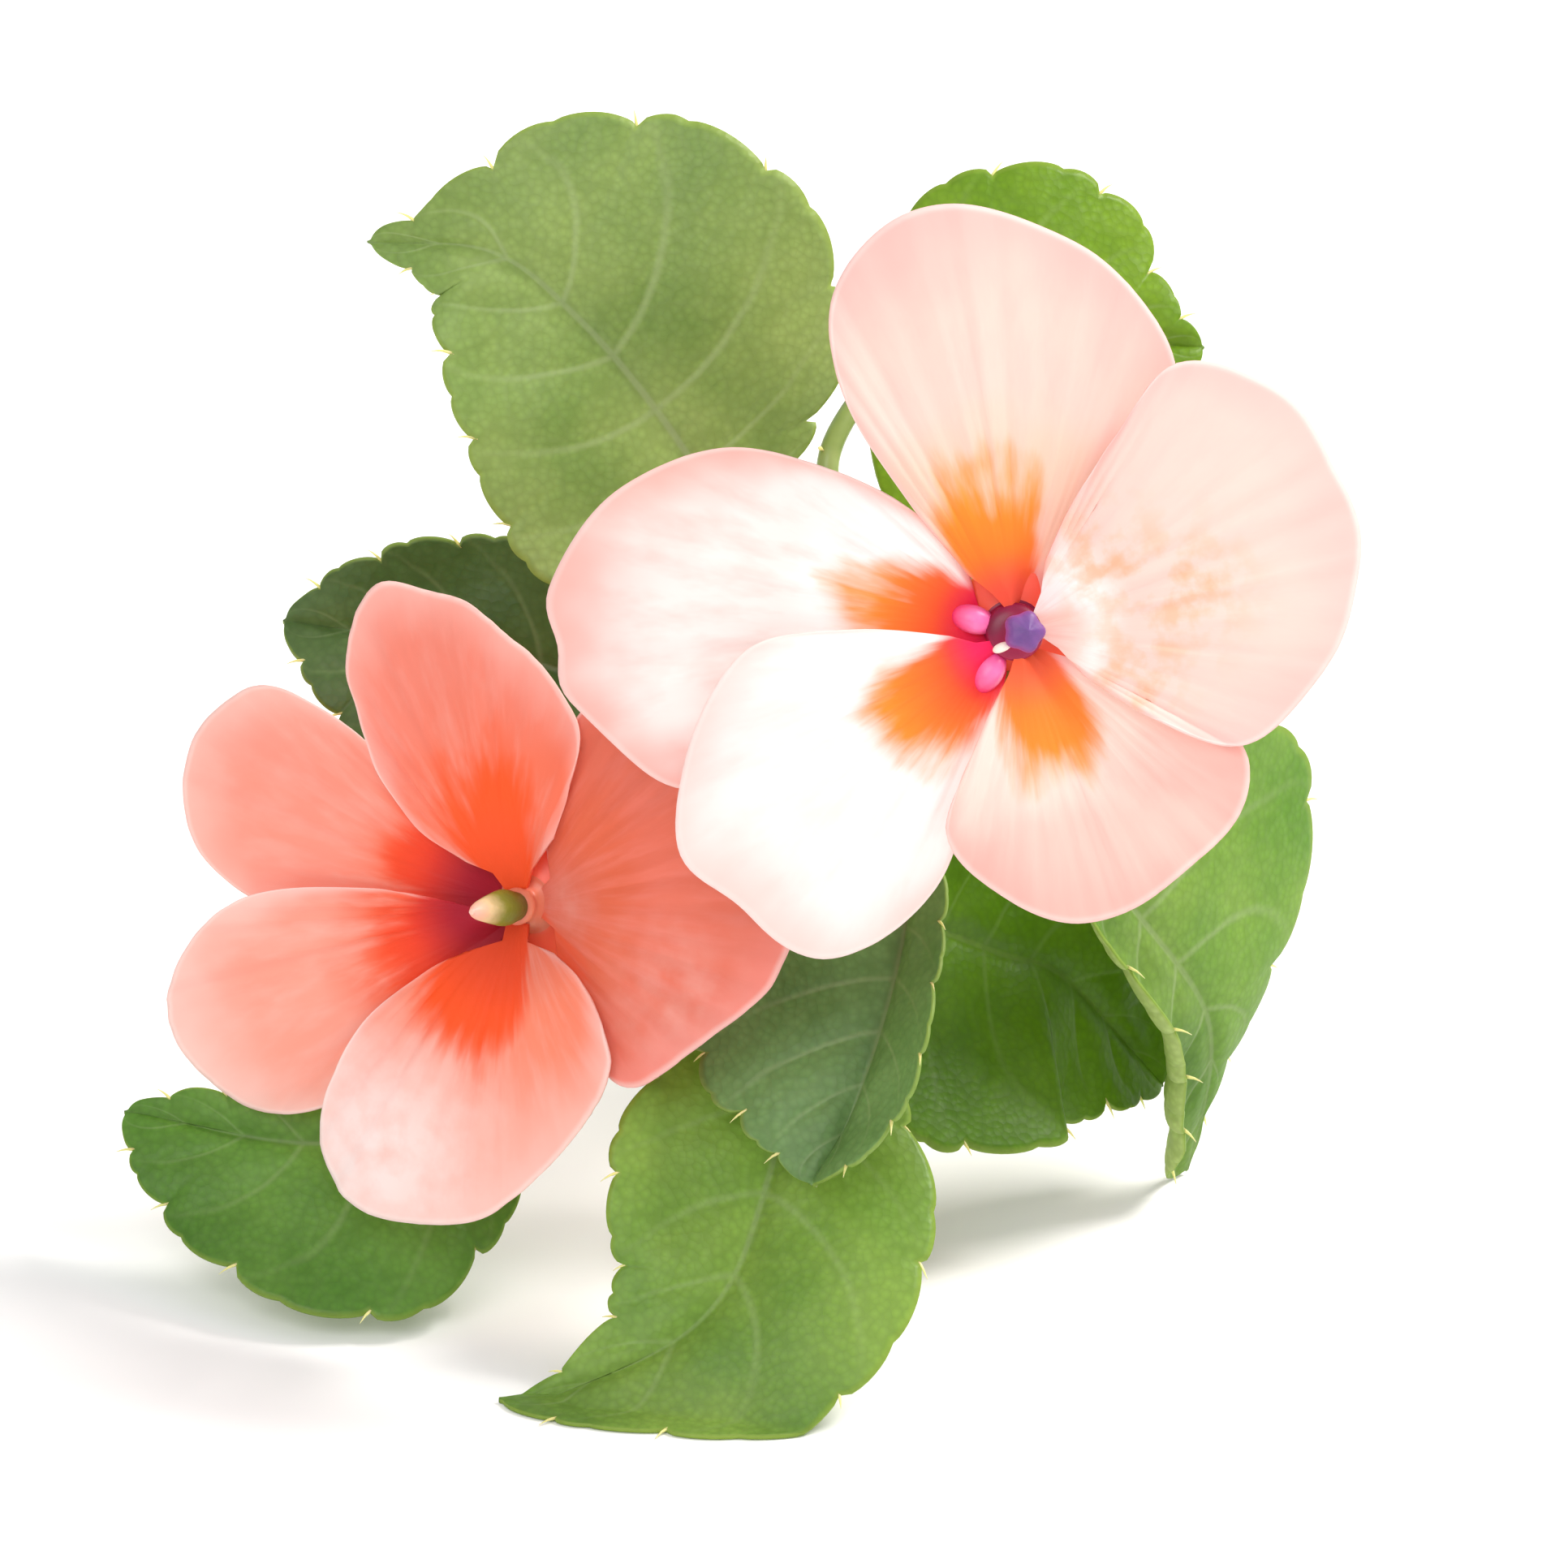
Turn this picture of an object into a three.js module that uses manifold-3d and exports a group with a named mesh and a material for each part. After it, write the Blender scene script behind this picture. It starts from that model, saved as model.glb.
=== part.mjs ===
// A cut sprig of busy lizzie (Impatiens walleriana), lying as picked on a flat surface.
// Millimetres and degrees, +Z up. The flowers face -Y, and the stem runs back along +Y to its cut.
// The sprig is laid out with its shoot tip above (0, 0) and the surface at z = 0, and is then
// moved sideways so that the origin is the middle of its bounding box's bottom.

import * as THREE from 'three';
import { mergeVertices } from 'three/addons/utils/BufferGeometryUtils.js';
import Module from 'manifold-3d';

const wasm = await Module();
wasm.setup();

// Where the bounding box's middle lies in the layout
const BOX_MIDDLE = { x: -9.39, y: 18.98 };

// Leaf blades
const BLADE_THICKNESS = 0.6;
const TEETH = 7;
const ROWS_PER_TOOTH = 4;
const TOOTH_DEPTH = 0.8;
// Powers that lean each tooth towards the leaf's tip and make it full and round
const TOOTH_LEAN = 1.4;
const TOOTH_ROUNDNESS = 0.6;
const DEEPEST_NOTCH = 0.3;
const MOST_SLANT = 2;
const SLANT_STEP = 0.02;
const BLADE_COLUMNS = 2;
const SECTION_STEPS = 16;
const BASE_HALF_WIDTH = 0.5;
const TIP_HALF_WIDTH = 0.15;
// Places along the midrib, 0 at the base and 1 at the tip, where a blade's reach is given
const REACH_STATIONS = [0, 0.06, 0.2, 0.4, 0.6, 0.8, 0.93, 1];
// Angle of the side veins to the midrib's square, backward at the base and forward at the tip
const SWEEP = { base: -25, tip: 55 };
// The margin waves up and down. It waves and rolls less where the reach is under the calm one.
const EDGE_WAVE = 0.45;
const EDGE_WAVES = 2.5;
const WAVE_LAG = 2;
const CALM_REACH = 5;
const PETIOLE_RADIUS = { base: 0.75, tip: 0.52 };
// How far the petiole runs on into the blade, as a share of the midrib
const PETIOLE_ROOT = 0.08;

// Petals
const PETAL_THICKNESS = 0.6;
const PETAL_ROWS = 5;
const PETAL_COLUMNS = 14;
const CLAW_RING = 1.8;
const CLAW_HALF_WIDTH = 0.5;
// How far a petal's side stands over or under its neighbour's
const LAYER = 0.5;
// It passes from one to the other between these places across the petal
const LAYER_CHANGE = { from: 0.3, to: 0.7 };
const THROAT_DEPTH = 1.6;
const THROAT_RADIUS = 4;
// Distance from the flower's middle at which a petal has bent by its full amount
const BEND_RADIUS = 20;

// Stem, pedicels and the parts behind a flower
const STEM_PATH = [
  [0, -1.2, 28.6], [0.4, 4, 27.4], [2, 18, 20.5], [5.5, 36, 10.2], [9, 52, 3.6], [11, 62, 2.3],
];
const STEM_RADII = [0.9, 1.75, 1.9, 2.05, 2.2, 2.3];
const STEM_NODES = [0.3, 0.56, 0.82];
const NODE_SWELL = 0.5;
const NODE_LENGTH = 0.035;
const PEDICEL_RADIUS = 0.55;
// The receptacle is the small knob that a flower's petals and sepals stand round. Its middle
// line is given in the flower's own frame, from back to front.
const RECEPTACLE_RADIUS = 1.45;
const RECEPTACLE_LENGTH = 3.4;
// Where along its length, from the front, the pedicel begins to widen into it
const RECEPTACLE_START = 1.4;
const RECEPTACLE_LINE = [[0, 1.2, -4.2], [0, 0.1, -2], [0, 0, -0.6]];
const SPUR_STATIONS = [0, 0.07, 0.16, 0.26, 1];
const SPUR_RADII = [0.9, 1.5, 1.15, 0.55, 0.3];
const LATERAL_SEPAL = {
  start: 1.9, length: 4.2, halfWidth: 1.35, height: 0.7, depth: 3.1, arch: 0.4, cup: 0.25,
  fullness: 0.8, bluntness: 0.2,
};

const GREEN = 0x6f9a48;
const STEM_GREEN = 0x9aa860;
const PEACH = 0xffc9c0;
const SALMON = 0xff8a70;
const ANTHER_PURPLE = 0x8a4a8c;
const PISTIL_GREEN = 0x7f9a3c;

// reach: the half's width at the stations after the base and before the tip
// fold: how far the half is lifted off the blade's plane beside the midrib, at the base and tip
// roll: how much further it turns by its edge, evenly or, with a higher curl, mostly at the edge
const LEAVES = [
  {
    name: 'leaf_upper_left',
    petiole: [[-1.3, 3.2, 28.4], [-6.2, 3.6, 33.2]],
    midrib: [[-9.8, 4, 38.4], [-14, 5, 44.4], [-18, 6, 48.9], [-22.4, 7.5, 51.9], [-28.5, 10, 51.4]],
    face: { base: [-0.05, -0.95, 0.3], tip: [-0.2, -0.9, 0.2] },
    left: { reach: [6, 10.2, 9.3, 6.6, 2.9, 1.1], fold: [4, 4], roll: 8 },
    right: { reach: [3.6, 9.8, 13.1, 10, 2.8, 1.1], fold: [4, 4], roll: -14 },
  },
  {
    name: 'leaf_upper_right',
    petiole: [[0.5, 1.6, 29.9], [-2.8, 2.6, 35.4], [-5, 4.4, 41]],
    midrib: [[-3.1, 7.5, 44.1], [4.9, 9.5, 46.3], [14.8, 10, 45.8]],
    face: { base: [0.1, -0.85, 0.5], tip: [0.2, -0.85, 0.5] },
    left: { reach: [2, 5.8, 9.4, 8.6, 3.4, 1.2], fold: [6, 6], roll: -20 },
    right: { reach: [4.2, 8, 9.6, 8, 3.8, 1.4], fold: [6, 6], roll: -20 },
  },
  {
    name: 'leaf_back_left',
    petiole: [[-1.4, 1.8, 27.2], [-6, 2.4, 27]],
    midrib: [[-10.3, 3, 27.3], [-20.7, 6, 30.1], [-32.4, 8, 31.3]],
    face: { base: [-0.1, -0.75, 0.65], tip: [-0.2, -0.8, 0.6] },
    left: { reach: [3.7, 7.6, 9.4, 8.6, 4.7, 1.8], fold: [5, 5], roll: 10 },
    right: { reach: [2.4, 4.6, 6.3, 6.3, 4, 1.6], fold: [12, 12], roll: 30 },
  },
  {
    name: 'leaf_lower_left',
    petiole: [[-0.9, 0.5, 27], [-8, -0.4, 21.6], [-15, -1.8, 15]],
    midrib: [[-19.6, -2.5, 9.4], [-30.2, -5.3, 7.8], [-40.6, -1.8, 8]],
    face: { base: [0, -0.75, 0.66], tip: [-0.1, -0.8, 0.6] },
    left: { reach: [2.4, 6.2, 10.4, 8, 4.6, 1.8], fold: [4, 4], roll: 8 },
    right: { reach: [1.8, 3.4, 4.2, 3.6, 2.2, 1.1], fold: [8, 8], roll: 8 },
  },
  {
    name: 'leaf_front_low',
    petiole: [[-0.6, -1.2, 27.1], [-3, -3.6, 23.6]],
    midrib: [[-5.8, -6, 19.7], [-8.5, -14, 9.7], [-12.4, -18.6, 3.7], [-22.3, -20, -0.8]],
    face: { base: [-0.2, -0.7, 0.7], tip: [-0.1, -0.5, 0.85] },
    left: { reach: [2.4, 5, 9.4, 9, 5.3, 2.2], fold: [4, 4], roll: -10 },
    right: { reach: [2.6, 6.1, 8.3, 5.9, 2.3, 1], fold: [10, 10], roll: 8 },
  },
  {
    name: 'leaf_front_middle',
    petiole: [[0.2, -2, 28.3], [-0.1, -4.2, 27.2]],
    midrib: [[-0.5, -6, 25.8], [-2.1, -11.5, 20], [-4.4, -15.5, 14.4], [-6.6, -17.5, 11.1]],
    face: { base: [-0.35, -0.75, 0.55], tip: [-0.35, -0.75, 0.55] },
    left: { reach: [1.6, 2.8, 3.8, 5.4, 4.2, 1.6], fold: [30, 30], roll: 20 },
    right: { reach: [2.6, 6.8, 10.6, 9.6, 5.2, 2], fold: [2, 2], roll: 8 },
  },
  {
    name: 'leaf_lower_right',
    petiole: [[0.2, 2.7, 26.1], [-0.5, 1.6, 21.6]],
    midrib: [[-0.8, 1, 17.8], [4.9, 3, 14.7], [8.6, 4.5, 12.6], [14.4, 7, 5.3]],
    face: { base: [0, -0.8, 0.6], tip: [0.3, -0.75, 0.6] },
    left: { reach: [3, 6.2, 7.4, 5.4, 3.2, 1.4], fold: [8, 8], roll: 8 },
    right: { reach: [5.4, 11.7, 10.4, 7.4, 3.8, 1.6], fold: [4, 4], roll: 8 },
  },
  {
    name: 'leaf_right',
    petiole: [[1.5, 1.1, 27.6], [4.6, -0.2, 26.4]],
    midrib: [[7.4, -1.5, 23.6], [12, 0.4, 17.6], [15.7, 2.8, 11.7], [16.5, 4.8, 6.6], [15.9, 7, 0.3]],
    face: { base: [0.2, -0.8, 0.5], tip: [0.3, -0.9, 0.1] },
    left: { reach: [3.6, 10.8, 14.2, 6, 1, 0.6], fold: [5, -35], roll: -5 },
    right: { reach: [2, 3.4, 5, 5.8, 4.8, 2.4], fold: [4, 4], roll: 145, curl: 3, columns: 5 },
  },
];

// Petal outlines are in the flower's own frame: x to the right, y up, z out of its face. Each
// goes clockwise from the petal's left side to its right side, clear of the claw.
// layer: whether the left and the right side lie over (1) or under (-1) the neighbour
// bend: how far the petal leans out (+) or back (-) at BEND_RADIUS
const PEACH_FLOWER = {
  name: 'peach',
  colour: PEACH,
  centre: [2.4, -18, 41.6],
  face: [0, -0.927, 0.375],
  petals: [
    {
      name: 'standard',
      heading: 12,
      outline: [
        [1.7, 3.6], [2.6, 6.2], [4.9, 9.7], [7.9, 13.4], [13, 12.1], [16.4, 7.4], [17.3, 3],
        [15.4, -1.9], [11.5, -5.6], [7, -4.4], [3.4, -2.2],
      ],
      layer: [1, 1],
      bend: -1.0,
    },
    {
      name: 'upper',
      heading: 96,
      outline: [
        [-2.4, 2.8], [-5.6, 6.6], [-8.6, 11.5], [-9.2, 16.5], [-6, 20.6], [-0.5, 20.9], [4.7, 18.3],
        [8, 13.6], [7, 8.6], [3.6, 4],
      ],
      layer: [1, -1],
      bend: -1.6,
    },
    {
      name: 'left',
      heading: 174,
      outline: [
        [-3.2, -1.7], [-9, -5.5], [-16.5, -7.8], [-22, -3.7], [-22.6, -0.8], [-23.1, 2.2], [-20, 6.9],
        [-14.4, 9.1], [-8.8, 7.9], [-4.6, 5.6], [-2.3, 3],
      ],
      layer: [-1, -1],
      bend: -1.6,
    },
    {
      name: 'lower_left',
      heading: 228,
      outline: [
        [-0.9, -3.6], [-2.4, -8.6], [-4.3, -13.3], [-9.2, -16.4], [-13.7, -13.8], [-16.7, -11.1],
        [-16.4, -5.9], [-13.7, -1], [-8.3, 0.1], [-3.4, -0.2],
      ],
      layer: [-1, 1],
      bend: -0.9,
    },
    {
      name: 'lower_right',
      heading: 292,
      outline: [
        [3.2, -1.4], [7.5, -3], [11.5, -5.7], [11.2, -9.1], [7.4, -12.9], [3.1, -14.6], [-1.1, -12.9],
        [-3.5, -10], [-2.2, -6], [-1.1, -3.5],
      ],
      layer: [-1, 1],
      bend: -1.0,
    },
  ],
  pedicel: [[0.1, -1.7, 29.4], [0.7, -6, 37.6], [1.8, -11, 42.4]],
  spur: [[0, -1.7, -3.2], [0.4, -3.9, -4.8], [3.4, -7.4, -9], [7.6, -9.2, -13.2], [10.8, -7.6, -18]],
};

const SALMON_FLOWER = {
  name: 'salmon',
  colour: SALMON,
  centre: [-21.8, -10, 23.1],
  face: [-0.505, -0.808, 0.304],
  petals: [
    {
      name: 'standard',
      heading: 16,
      outline: [
        [0.9, 3.8], [1, 8], [3.5, 12.3], [9, 12.2], [13.4, 8.6], [15.5, 3.6], [14.9, -0.2],
        [12.8, -3.1], [8.6, -7.5], [5.6, -6.3], [3.2, -3.1],
      ],
      layer: [-1, -1],
      bend: -1.4,
    },
    {
      name: 'upper',
      heading: 110,
      outline: [
        [-3, 1.7], [-6.1, 3.1], [-9.5, 6.5], [-11.5, 11], [-10, 14.6], [-5.5, 14.6], [-1.6, 13],
        [1.9, 10], [1.9, 7], [1, 3.6],
      ],
      layer: [1, 1],
      bend: -1.0,
    },
    {
      name: 'left',
      heading: 170,
      outline: [
        [-3.4, -1.4], [-7.5, -2.5], [-13, -3.3], [-18.5, -1.5], [-20.5, 3], [-18, 7.5], [-12.5, 7.3],
        [-7.5, 4.9], [-3.2, 2.2],
      ],
      layer: [-1, -1],
      bend: -1.8,
    },
    {
      name: 'lower_left',
      heading: 212,
      outline: [
        [-1.4, -3.4], [-4, -8], [-8, -12], [-13, -13.6], [-17.5, -11.5], [-18.5, -7.2], [-15, -2.8],
        [-8, -0.8], [-3.4, -0.5],
      ],
      layer: [-1, 1],
      bend: -1.4,
    },
    {
      name: 'lower_right',
      heading: 272,
      outline: [
        [2, -2], [4.4, -2.9], [6.6, -4.9], [7.2, -7.4], [5.6, -11], [1.2, -16.1], [-5.5, -16.9],
        [-8.5, -13.5], [-7, -8], [-4, -4.3], [-2.1, -2.8],
      ],
      layer: [1, 1],
      bend: -1.0,
    },
  ],
  pedicel: [[-1.3, -1.2, 28.3], [-9, -2, 28.8], [-16, -5.2, 27]],
  spur: [[0, -1.7, -3.2], [-0.6, -3.9, -4.8], [-4, -7.4, -8.6], [-7.4, -8.6, -12.4], [-9, -8, -16]],
};

const radians = THREE.MathUtils.degToRad;
const point = ([x, y, z]) => new THREE.Vector3(x, y, z);
const curveThrough = (points) => new THREE.CatmullRomCurve3(points.map(point), false, 'catmullrom', 0.5);

// Smooth value at t of a quantity known at the given stations
function profile(stations, values, t) {
  const last = stations.length - 1;
  let k = 0;
  while (k < last - 1 && t > stations[k + 1]) k += 1;
  const slope = (i) => {
    const a = Math.max(i - 1, 0);
    const b = Math.min(i + 1, last);
    return (values[b] - values[a]) / (stations[b] - stations[a]);
  };
  const span = stations[k + 1] - stations[k];
  const f = (t - stations[k]) / span;
  const rise = f * f * (3 - 2 * f);
  const start = f * (1 - f) * (1 - f) * span * slope(k);
  const end = f * f * (f - 1) * span * slope(k + 1);
  return values[k] * (1 - rise) + values[k + 1] * rise + start + end;
}

function geometryOf(vertices, triangles) {
  const geometry = new THREE.BufferGeometry();
  const positions = vertices.flatMap((v) => [v.x, v.y, v.z]);
  geometry.setAttribute('position', new THREE.Float32BufferAttribute(positions, 3));
  geometry.setIndex(triangles);
  return geometry;
}

// A closed thin body around a grid of points on its middle surface. The upper face is the one
// from which the rows run up and the columns run from left to right. Both faces share the
// same split of each cell into two triangles.
function sheet(grid, thickness) {
  const rows = grid.length;
  const columns = grid[0].length;
  const normalAt = (i, j) => {
    const up = grid[Math.min(i + 1, rows - 1)][j].clone().sub(grid[Math.max(i - 1, 0)][j]);
    const right = grid[i][Math.min(j + 1, columns - 1)].clone().sub(grid[i][Math.max(j - 1, 0)]);
    return right.cross(up).normalize();
  };
  const vertices = [];
  for (const side of [0.5, -0.5]) {
    for (let i = 0; i < rows; i += 1) {
      for (let j = 0; j < columns; j += 1) {
        vertices.push(grid[i][j].clone().addScaledVector(normalAt(i, j), side * thickness));
      }
    }
  }
  const upper = (i, j) => i * columns + j;
  const lower = (i, j) => rows * columns + i * columns + j;
  const triangles = [];
  for (let i = 0; i < rows - 1; i += 1) {
    for (let j = 0; j < columns - 1; j += 1) {
      triangles.push(upper(i, j), upper(i, j + 1), upper(i + 1, j + 1));
      triangles.push(upper(i, j), upper(i + 1, j + 1), upper(i + 1, j));
      triangles.push(lower(i, j), lower(i + 1, j + 1), lower(i, j + 1));
      triangles.push(lower(i, j), lower(i + 1, j), lower(i + 1, j + 1));
    }
  }
  const rim = [];
  for (let j = 0; j < columns - 1; j += 1) rim.push([0, j]);
  for (let i = 0; i < rows - 1; i += 1) rim.push([i, columns - 1]);
  for (let j = columns - 1; j > 0; j -= 1) rim.push([rows - 1, j]);
  for (let i = rows - 1; i > 0; i -= 1) rim.push([i, 0]);
  rim.forEach(([i, j], k) => {
    const [m, n] = rim[(k + 1) % rim.length];
    triangles.push(upper(i, j), lower(m, n), upper(m, n));
    triangles.push(upper(i, j), lower(i, j), lower(m, n));
  });
  return geometryOf(vertices, triangles);
}

// A closed round body along a curve, with its radius given by a function of the place along it
function rod(curve, radiusAt, steps, sides) {
  const frames = curve.computeFrenetFrames(steps, false);
  const vertices = [];
  const triangles = [];
  for (let i = 0; i <= steps; i += 1) {
    const middle = curve.getPointAt(i / steps);
    const radius = radiusAt(i / steps);
    for (let j = 0; j < sides; j += 1) {
      const angle = (2 * Math.PI * j) / sides;
      const vertex = middle.clone();
      vertex.addScaledVector(frames.normals[i], radius * Math.cos(angle));
      vertex.addScaledVector(frames.binormals[i], radius * Math.sin(angle));
      vertices.push(vertex);
    }
  }
  const ring = (i, j) => i * sides + (j % sides);
  for (let i = 0; i < steps; i += 1) {
    for (let j = 0; j < sides; j += 1) {
      triangles.push(ring(i, j), ring(i, j + 1), ring(i + 1, j + 1));
      triangles.push(ring(i, j), ring(i + 1, j + 1), ring(i + 1, j));
    }
  }
  for (let j = 1; j < sides - 1; j += 1) {
    triangles.push(ring(0, 0), ring(0, j + 1), ring(0, j));
    triangles.push(ring(steps, 0), ring(steps, j), ring(steps, j + 1));
  }
  return geometryOf(vertices, triangles);
}

function solidOf(geometry) {
  const welded = mergeVertices(geometry, 1e-4);
  return new wasm.Manifold(new wasm.Mesh({
    numProp: 3,
    vertProperties: new Float32Array(welded.attributes.position.array),
    triVerts: new Uint32Array(welded.index.array),
  }));
}

// One body from several that run into each other
function fused(geometries) {
  const mesh = geometries.map(solidOf).reduce((whole, piece) => whole.add(piece)).getMesh();
  const geometry = new THREE.BufferGeometry();
  geometry.setAttribute('position', new THREE.BufferAttribute(new Float32Array(mesh.vertProperties), 3));
  geometry.setIndex(new THREE.BufferAttribute(new Uint32Array(mesh.triVerts), 1));
  return geometry;
}

function named(name, geometry, color, roughness = 0.6) {
  const material = new THREE.MeshStandardMaterial({ color, roughness, metalness: 0 });
  const mesh = new THREE.Mesh(geometry, material);
  mesh.name = name;
  return mesh;
}

// How far a half of the blade reaches at place t along the midrib, out to its rounded teeth.
// Where the margin runs at a slant to the reach, the notches between the teeth are cut deeper
// along it, so that they stay as deep across it. None takes more than a share of the reach.
function toothedReach(half, midrib, t) {
  const widths = [BASE_HALF_WIDTH, ...half.reach, TIP_HALF_WIDTH];
  const before = Math.max(t - SLANT_STEP, 0);
  const after = Math.min(t + SLANT_STEP, 1);
  const rise = profile(REACH_STATIONS, widths, after) - profile(REACH_STATIONS, widths, before);
  const slant = rise / (2 * SLANT_STEP * midrib.getLength());
  const full = profile(REACH_STATIONS, widths, t);
  const place = (t * TEETH) % 1;
  const bulge = Math.sin(Math.PI * place ** TOOTH_LEAN) ** TOOTH_ROUNDNESS;
  const notch = TOOTH_DEPTH * Math.min(Math.hypot(1, slant), MOST_SLANT) * (1 - bulge);
  return full - Math.min(notch, DEEPEST_NOTCH * full);
}

// One half of a blade, seen in section: from the midrib it leaves at the fold angle and goes on
// turning by the roll angle. Returns how far out and how high the point at share s of the reach
// is, at place t along the midrib.
function sectionPoint(half, reach, t, s) {
  const start = radians(THREE.MathUtils.lerp(half.fold[0], half.fold[1], t));
  const turn = radians(half.roll) * Math.min(1, reach / CALM_REACH);
  const step = s / SECTION_STEPS;
  let sideways = 0;
  let height = 0;
  for (let k = 0; k < SECTION_STEPS; k += 1) {
    const angle = start + turn * ((k + 0.5) * step) ** (half.curl ?? 1);
    sideways += reach * step * Math.cos(angle);
    height += reach * step * Math.sin(angle);
  }
  return [sideways, height];
}

function bladePoint(leaf, midrib, t, s) {
  const half = s < 0 ? leaf.left : leaf.right;
  const along = midrib.getTangentAt(t);
  const out = point(leaf.face.base).lerp(point(leaf.face.tip), t).projectOnPlane(along).normalize();
  const right = along.clone().cross(out);
  const sweep = radians(THREE.MathUtils.lerp(SWEEP.base, SWEEP.tip, t));
  right.multiplyScalar(Math.sign(s) * Math.cos(sweep));
  const reach = toothedReach(half, midrib, t);
  const [sideways, height] = sectionPoint(half, reach, t, Math.abs(s));
  const phase = 2 * Math.PI * EDGE_WAVES * t + (s < 0 ? 0 : WAVE_LAG);
  const wave = EDGE_WAVE * s * s * Math.sin(phase) * Math.min(1, reach / CALM_REACH);
  const place = midrib.getPointAt(t);
  place.addScaledVector(right, sideways).addScaledVector(along, sideways * Math.sin(sweep));
  place.addScaledVector(out, height + wave);
  place.z = Math.max(place.z, BLADE_THICKNESS / 2);
  return place;
}

function leafMesh(leaf) {
  const midrib = curveThrough(leaf.midrib);
  const shares = [];
  const leftColumns = leaf.left.columns ?? BLADE_COLUMNS;
  const rightColumns = leaf.right.columns ?? BLADE_COLUMNS;
  for (let j = leftColumns; j > 0; j -= 1) shares.push(-j / leftColumns);
  for (let j = 0; j <= rightColumns; j += 1) shares.push(j / rightColumns);
  const rows = TEETH * ROWS_PER_TOOTH;
  const grid = [];
  for (let i = 0; i <= rows; i += 1) {
    grid.push(shares.map((s) => bladePoint(leaf, midrib, i / rows, s)));
  }
  const root = midrib.getPointAt(PETIOLE_ROOT).toArray();
  const petiole = curveThrough([...leaf.petiole, leaf.midrib[0], root]);
  const radiusAt = (t) => THREE.MathUtils.lerp(PETIOLE_RADIUS.base, PETIOLE_RADIUS.tip, t);
  return named(leaf.name, fused([sheet(grid, BLADE_THICKNESS), rod(petiole, radiusAt, 8, 6)]), GREEN);
}

function petalHeight(petal, x, y, side) {
  const distance = Math.hypot(x, y);
  const blend = THREE.MathUtils.smoothstep(side, LAYER_CHANGE.from, LAYER_CHANGE.to);
  const layer = LAYER * THREE.MathUtils.lerp(petal.layer[0], petal.layer[1], blend);
  const throat = -THROAT_DEPTH * Math.exp(-((distance / THROAT_RADIUS) ** 2));
  return layer + throat + petal.bend * (distance / BEND_RADIUS) ** 2;
}

function petalMesh(flower, petal) {
  const heading = radians(petal.heading);
  const claw = new THREE.Vector2(Math.cos(heading), Math.sin(heading)).multiplyScalar(CLAW_RING);
  const acrossClaw = new THREE.Vector2(Math.sin(heading), -Math.cos(heading));
  const outline = curveThrough(petal.outline.map(([x, y]) => [x, y, 0]));
  const grid = [];
  for (let i = 0; i <= PETAL_ROWS; i += 1) {
    const share = i / PETAL_ROWS;
    const row = [];
    for (let j = 0; j <= PETAL_COLUMNS; j += 1) {
      const side = j / PETAL_COLUMNS;
      const edge = outline.getPointAt(side);
      const root = claw.clone().addScaledVector(acrossClaw, CLAW_HALF_WIDTH * (2 * side - 1));
      const x = THREE.MathUtils.lerp(root.x, edge.x, share);
      const y = THREE.MathUtils.lerp(root.y, edge.y, share);
      row.push(new THREE.Vector3(x, y, petalHeight(petal, x, y, side)));
    }
    grid.push(row);
  }
  return named(`${flower.name}_petal_${petal.name}`, sheet(grid, PETAL_THICKNESS), flower.colour, 0.5);
}

// Turns the flower's own frame into the sprig's
function flowerFrame(flower) {
  const out = point(flower.face).normalize();
  const right = new THREE.Vector3(0, 0, 1).cross(out).normalize();
  const up = out.clone().cross(right);
  return new THREE.Matrix4().makeBasis(right, up, out).setPosition(...flower.centre);
}

// The pedicel widens into the receptacle
function pedicelMesh(flower) {
  const frame = flowerFrame(flower);
  const receptacle = RECEPTACLE_LINE.map((place) => point(place).applyMatrix4(frame).toArray());
  const curve = curveThrough([...flower.pedicel, ...receptacle]);
  const wide = 1 - RECEPTACLE_LENGTH / curve.getLength();
  const narrow = 1 - (RECEPTACLE_START * RECEPTACLE_LENGTH) / curve.getLength();
  const radiusAt = (t) => {
    const widening = THREE.MathUtils.smoothstep(t, narrow, wide);
    return THREE.MathUtils.lerp(PEDICEL_RADIUS, RECEPTACLE_RADIUS, widening);
  };
  return named(`${flower.name}_pedicel`, rod(curve, radiusAt, 24, 8), STEM_GREEN);
}

// The lower sepal is a small pouch that narrows at once into the long thin spur
function spurMesh(flower) {
  const radiusAt = (t) => profile(SPUR_STATIONS, SPUR_RADII, t);
  return named(`${flower.name}_spur_sepal`, rod(curveThrough(flower.spur), radiusAt, 20, 8), STEM_GREEN);
}

// The lateral sepals are small pointed scales, one to each side of the receptacle
function lateralSepalMesh(flower, side) {
  const { start, length, halfWidth, height, depth, arch, cup, fullness, bluntness } = LATERAL_SEPAL;
  const rows = 6;
  const grid = [];
  for (let i = 0; i <= rows; i += 1) {
    const t = i / rows;
    const reach = halfWidth * Math.max(Math.sin(Math.PI * t ** fullness), bluntness);
    grid.push([-1, 0, 1].map((s) => new THREE.Vector3(
      side * (start + length * t),
      height - side * s * reach,
      -depth - arch * Math.sin(Math.PI * t) - cup * Math.abs(s),
    )));
  }
  const name = `${flower.name}_lateral_sepal_${side < 0 ? 'left' : 'right'}`;
  return named(name, sheet(grid, BLADE_THICKNESS), STEM_GREEN);
}

function flowerGroup(flower) {
  const group = new THREE.Group();
  group.applyMatrix4(flowerFrame(flower));
  flower.petals.forEach((petal) => group.add(petalMesh(flower, petal)));
  group.add(spurMesh(flower), lateralSepalMesh(flower, -1), lateralSepalMesh(flower, 1));
  return group;
}

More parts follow.
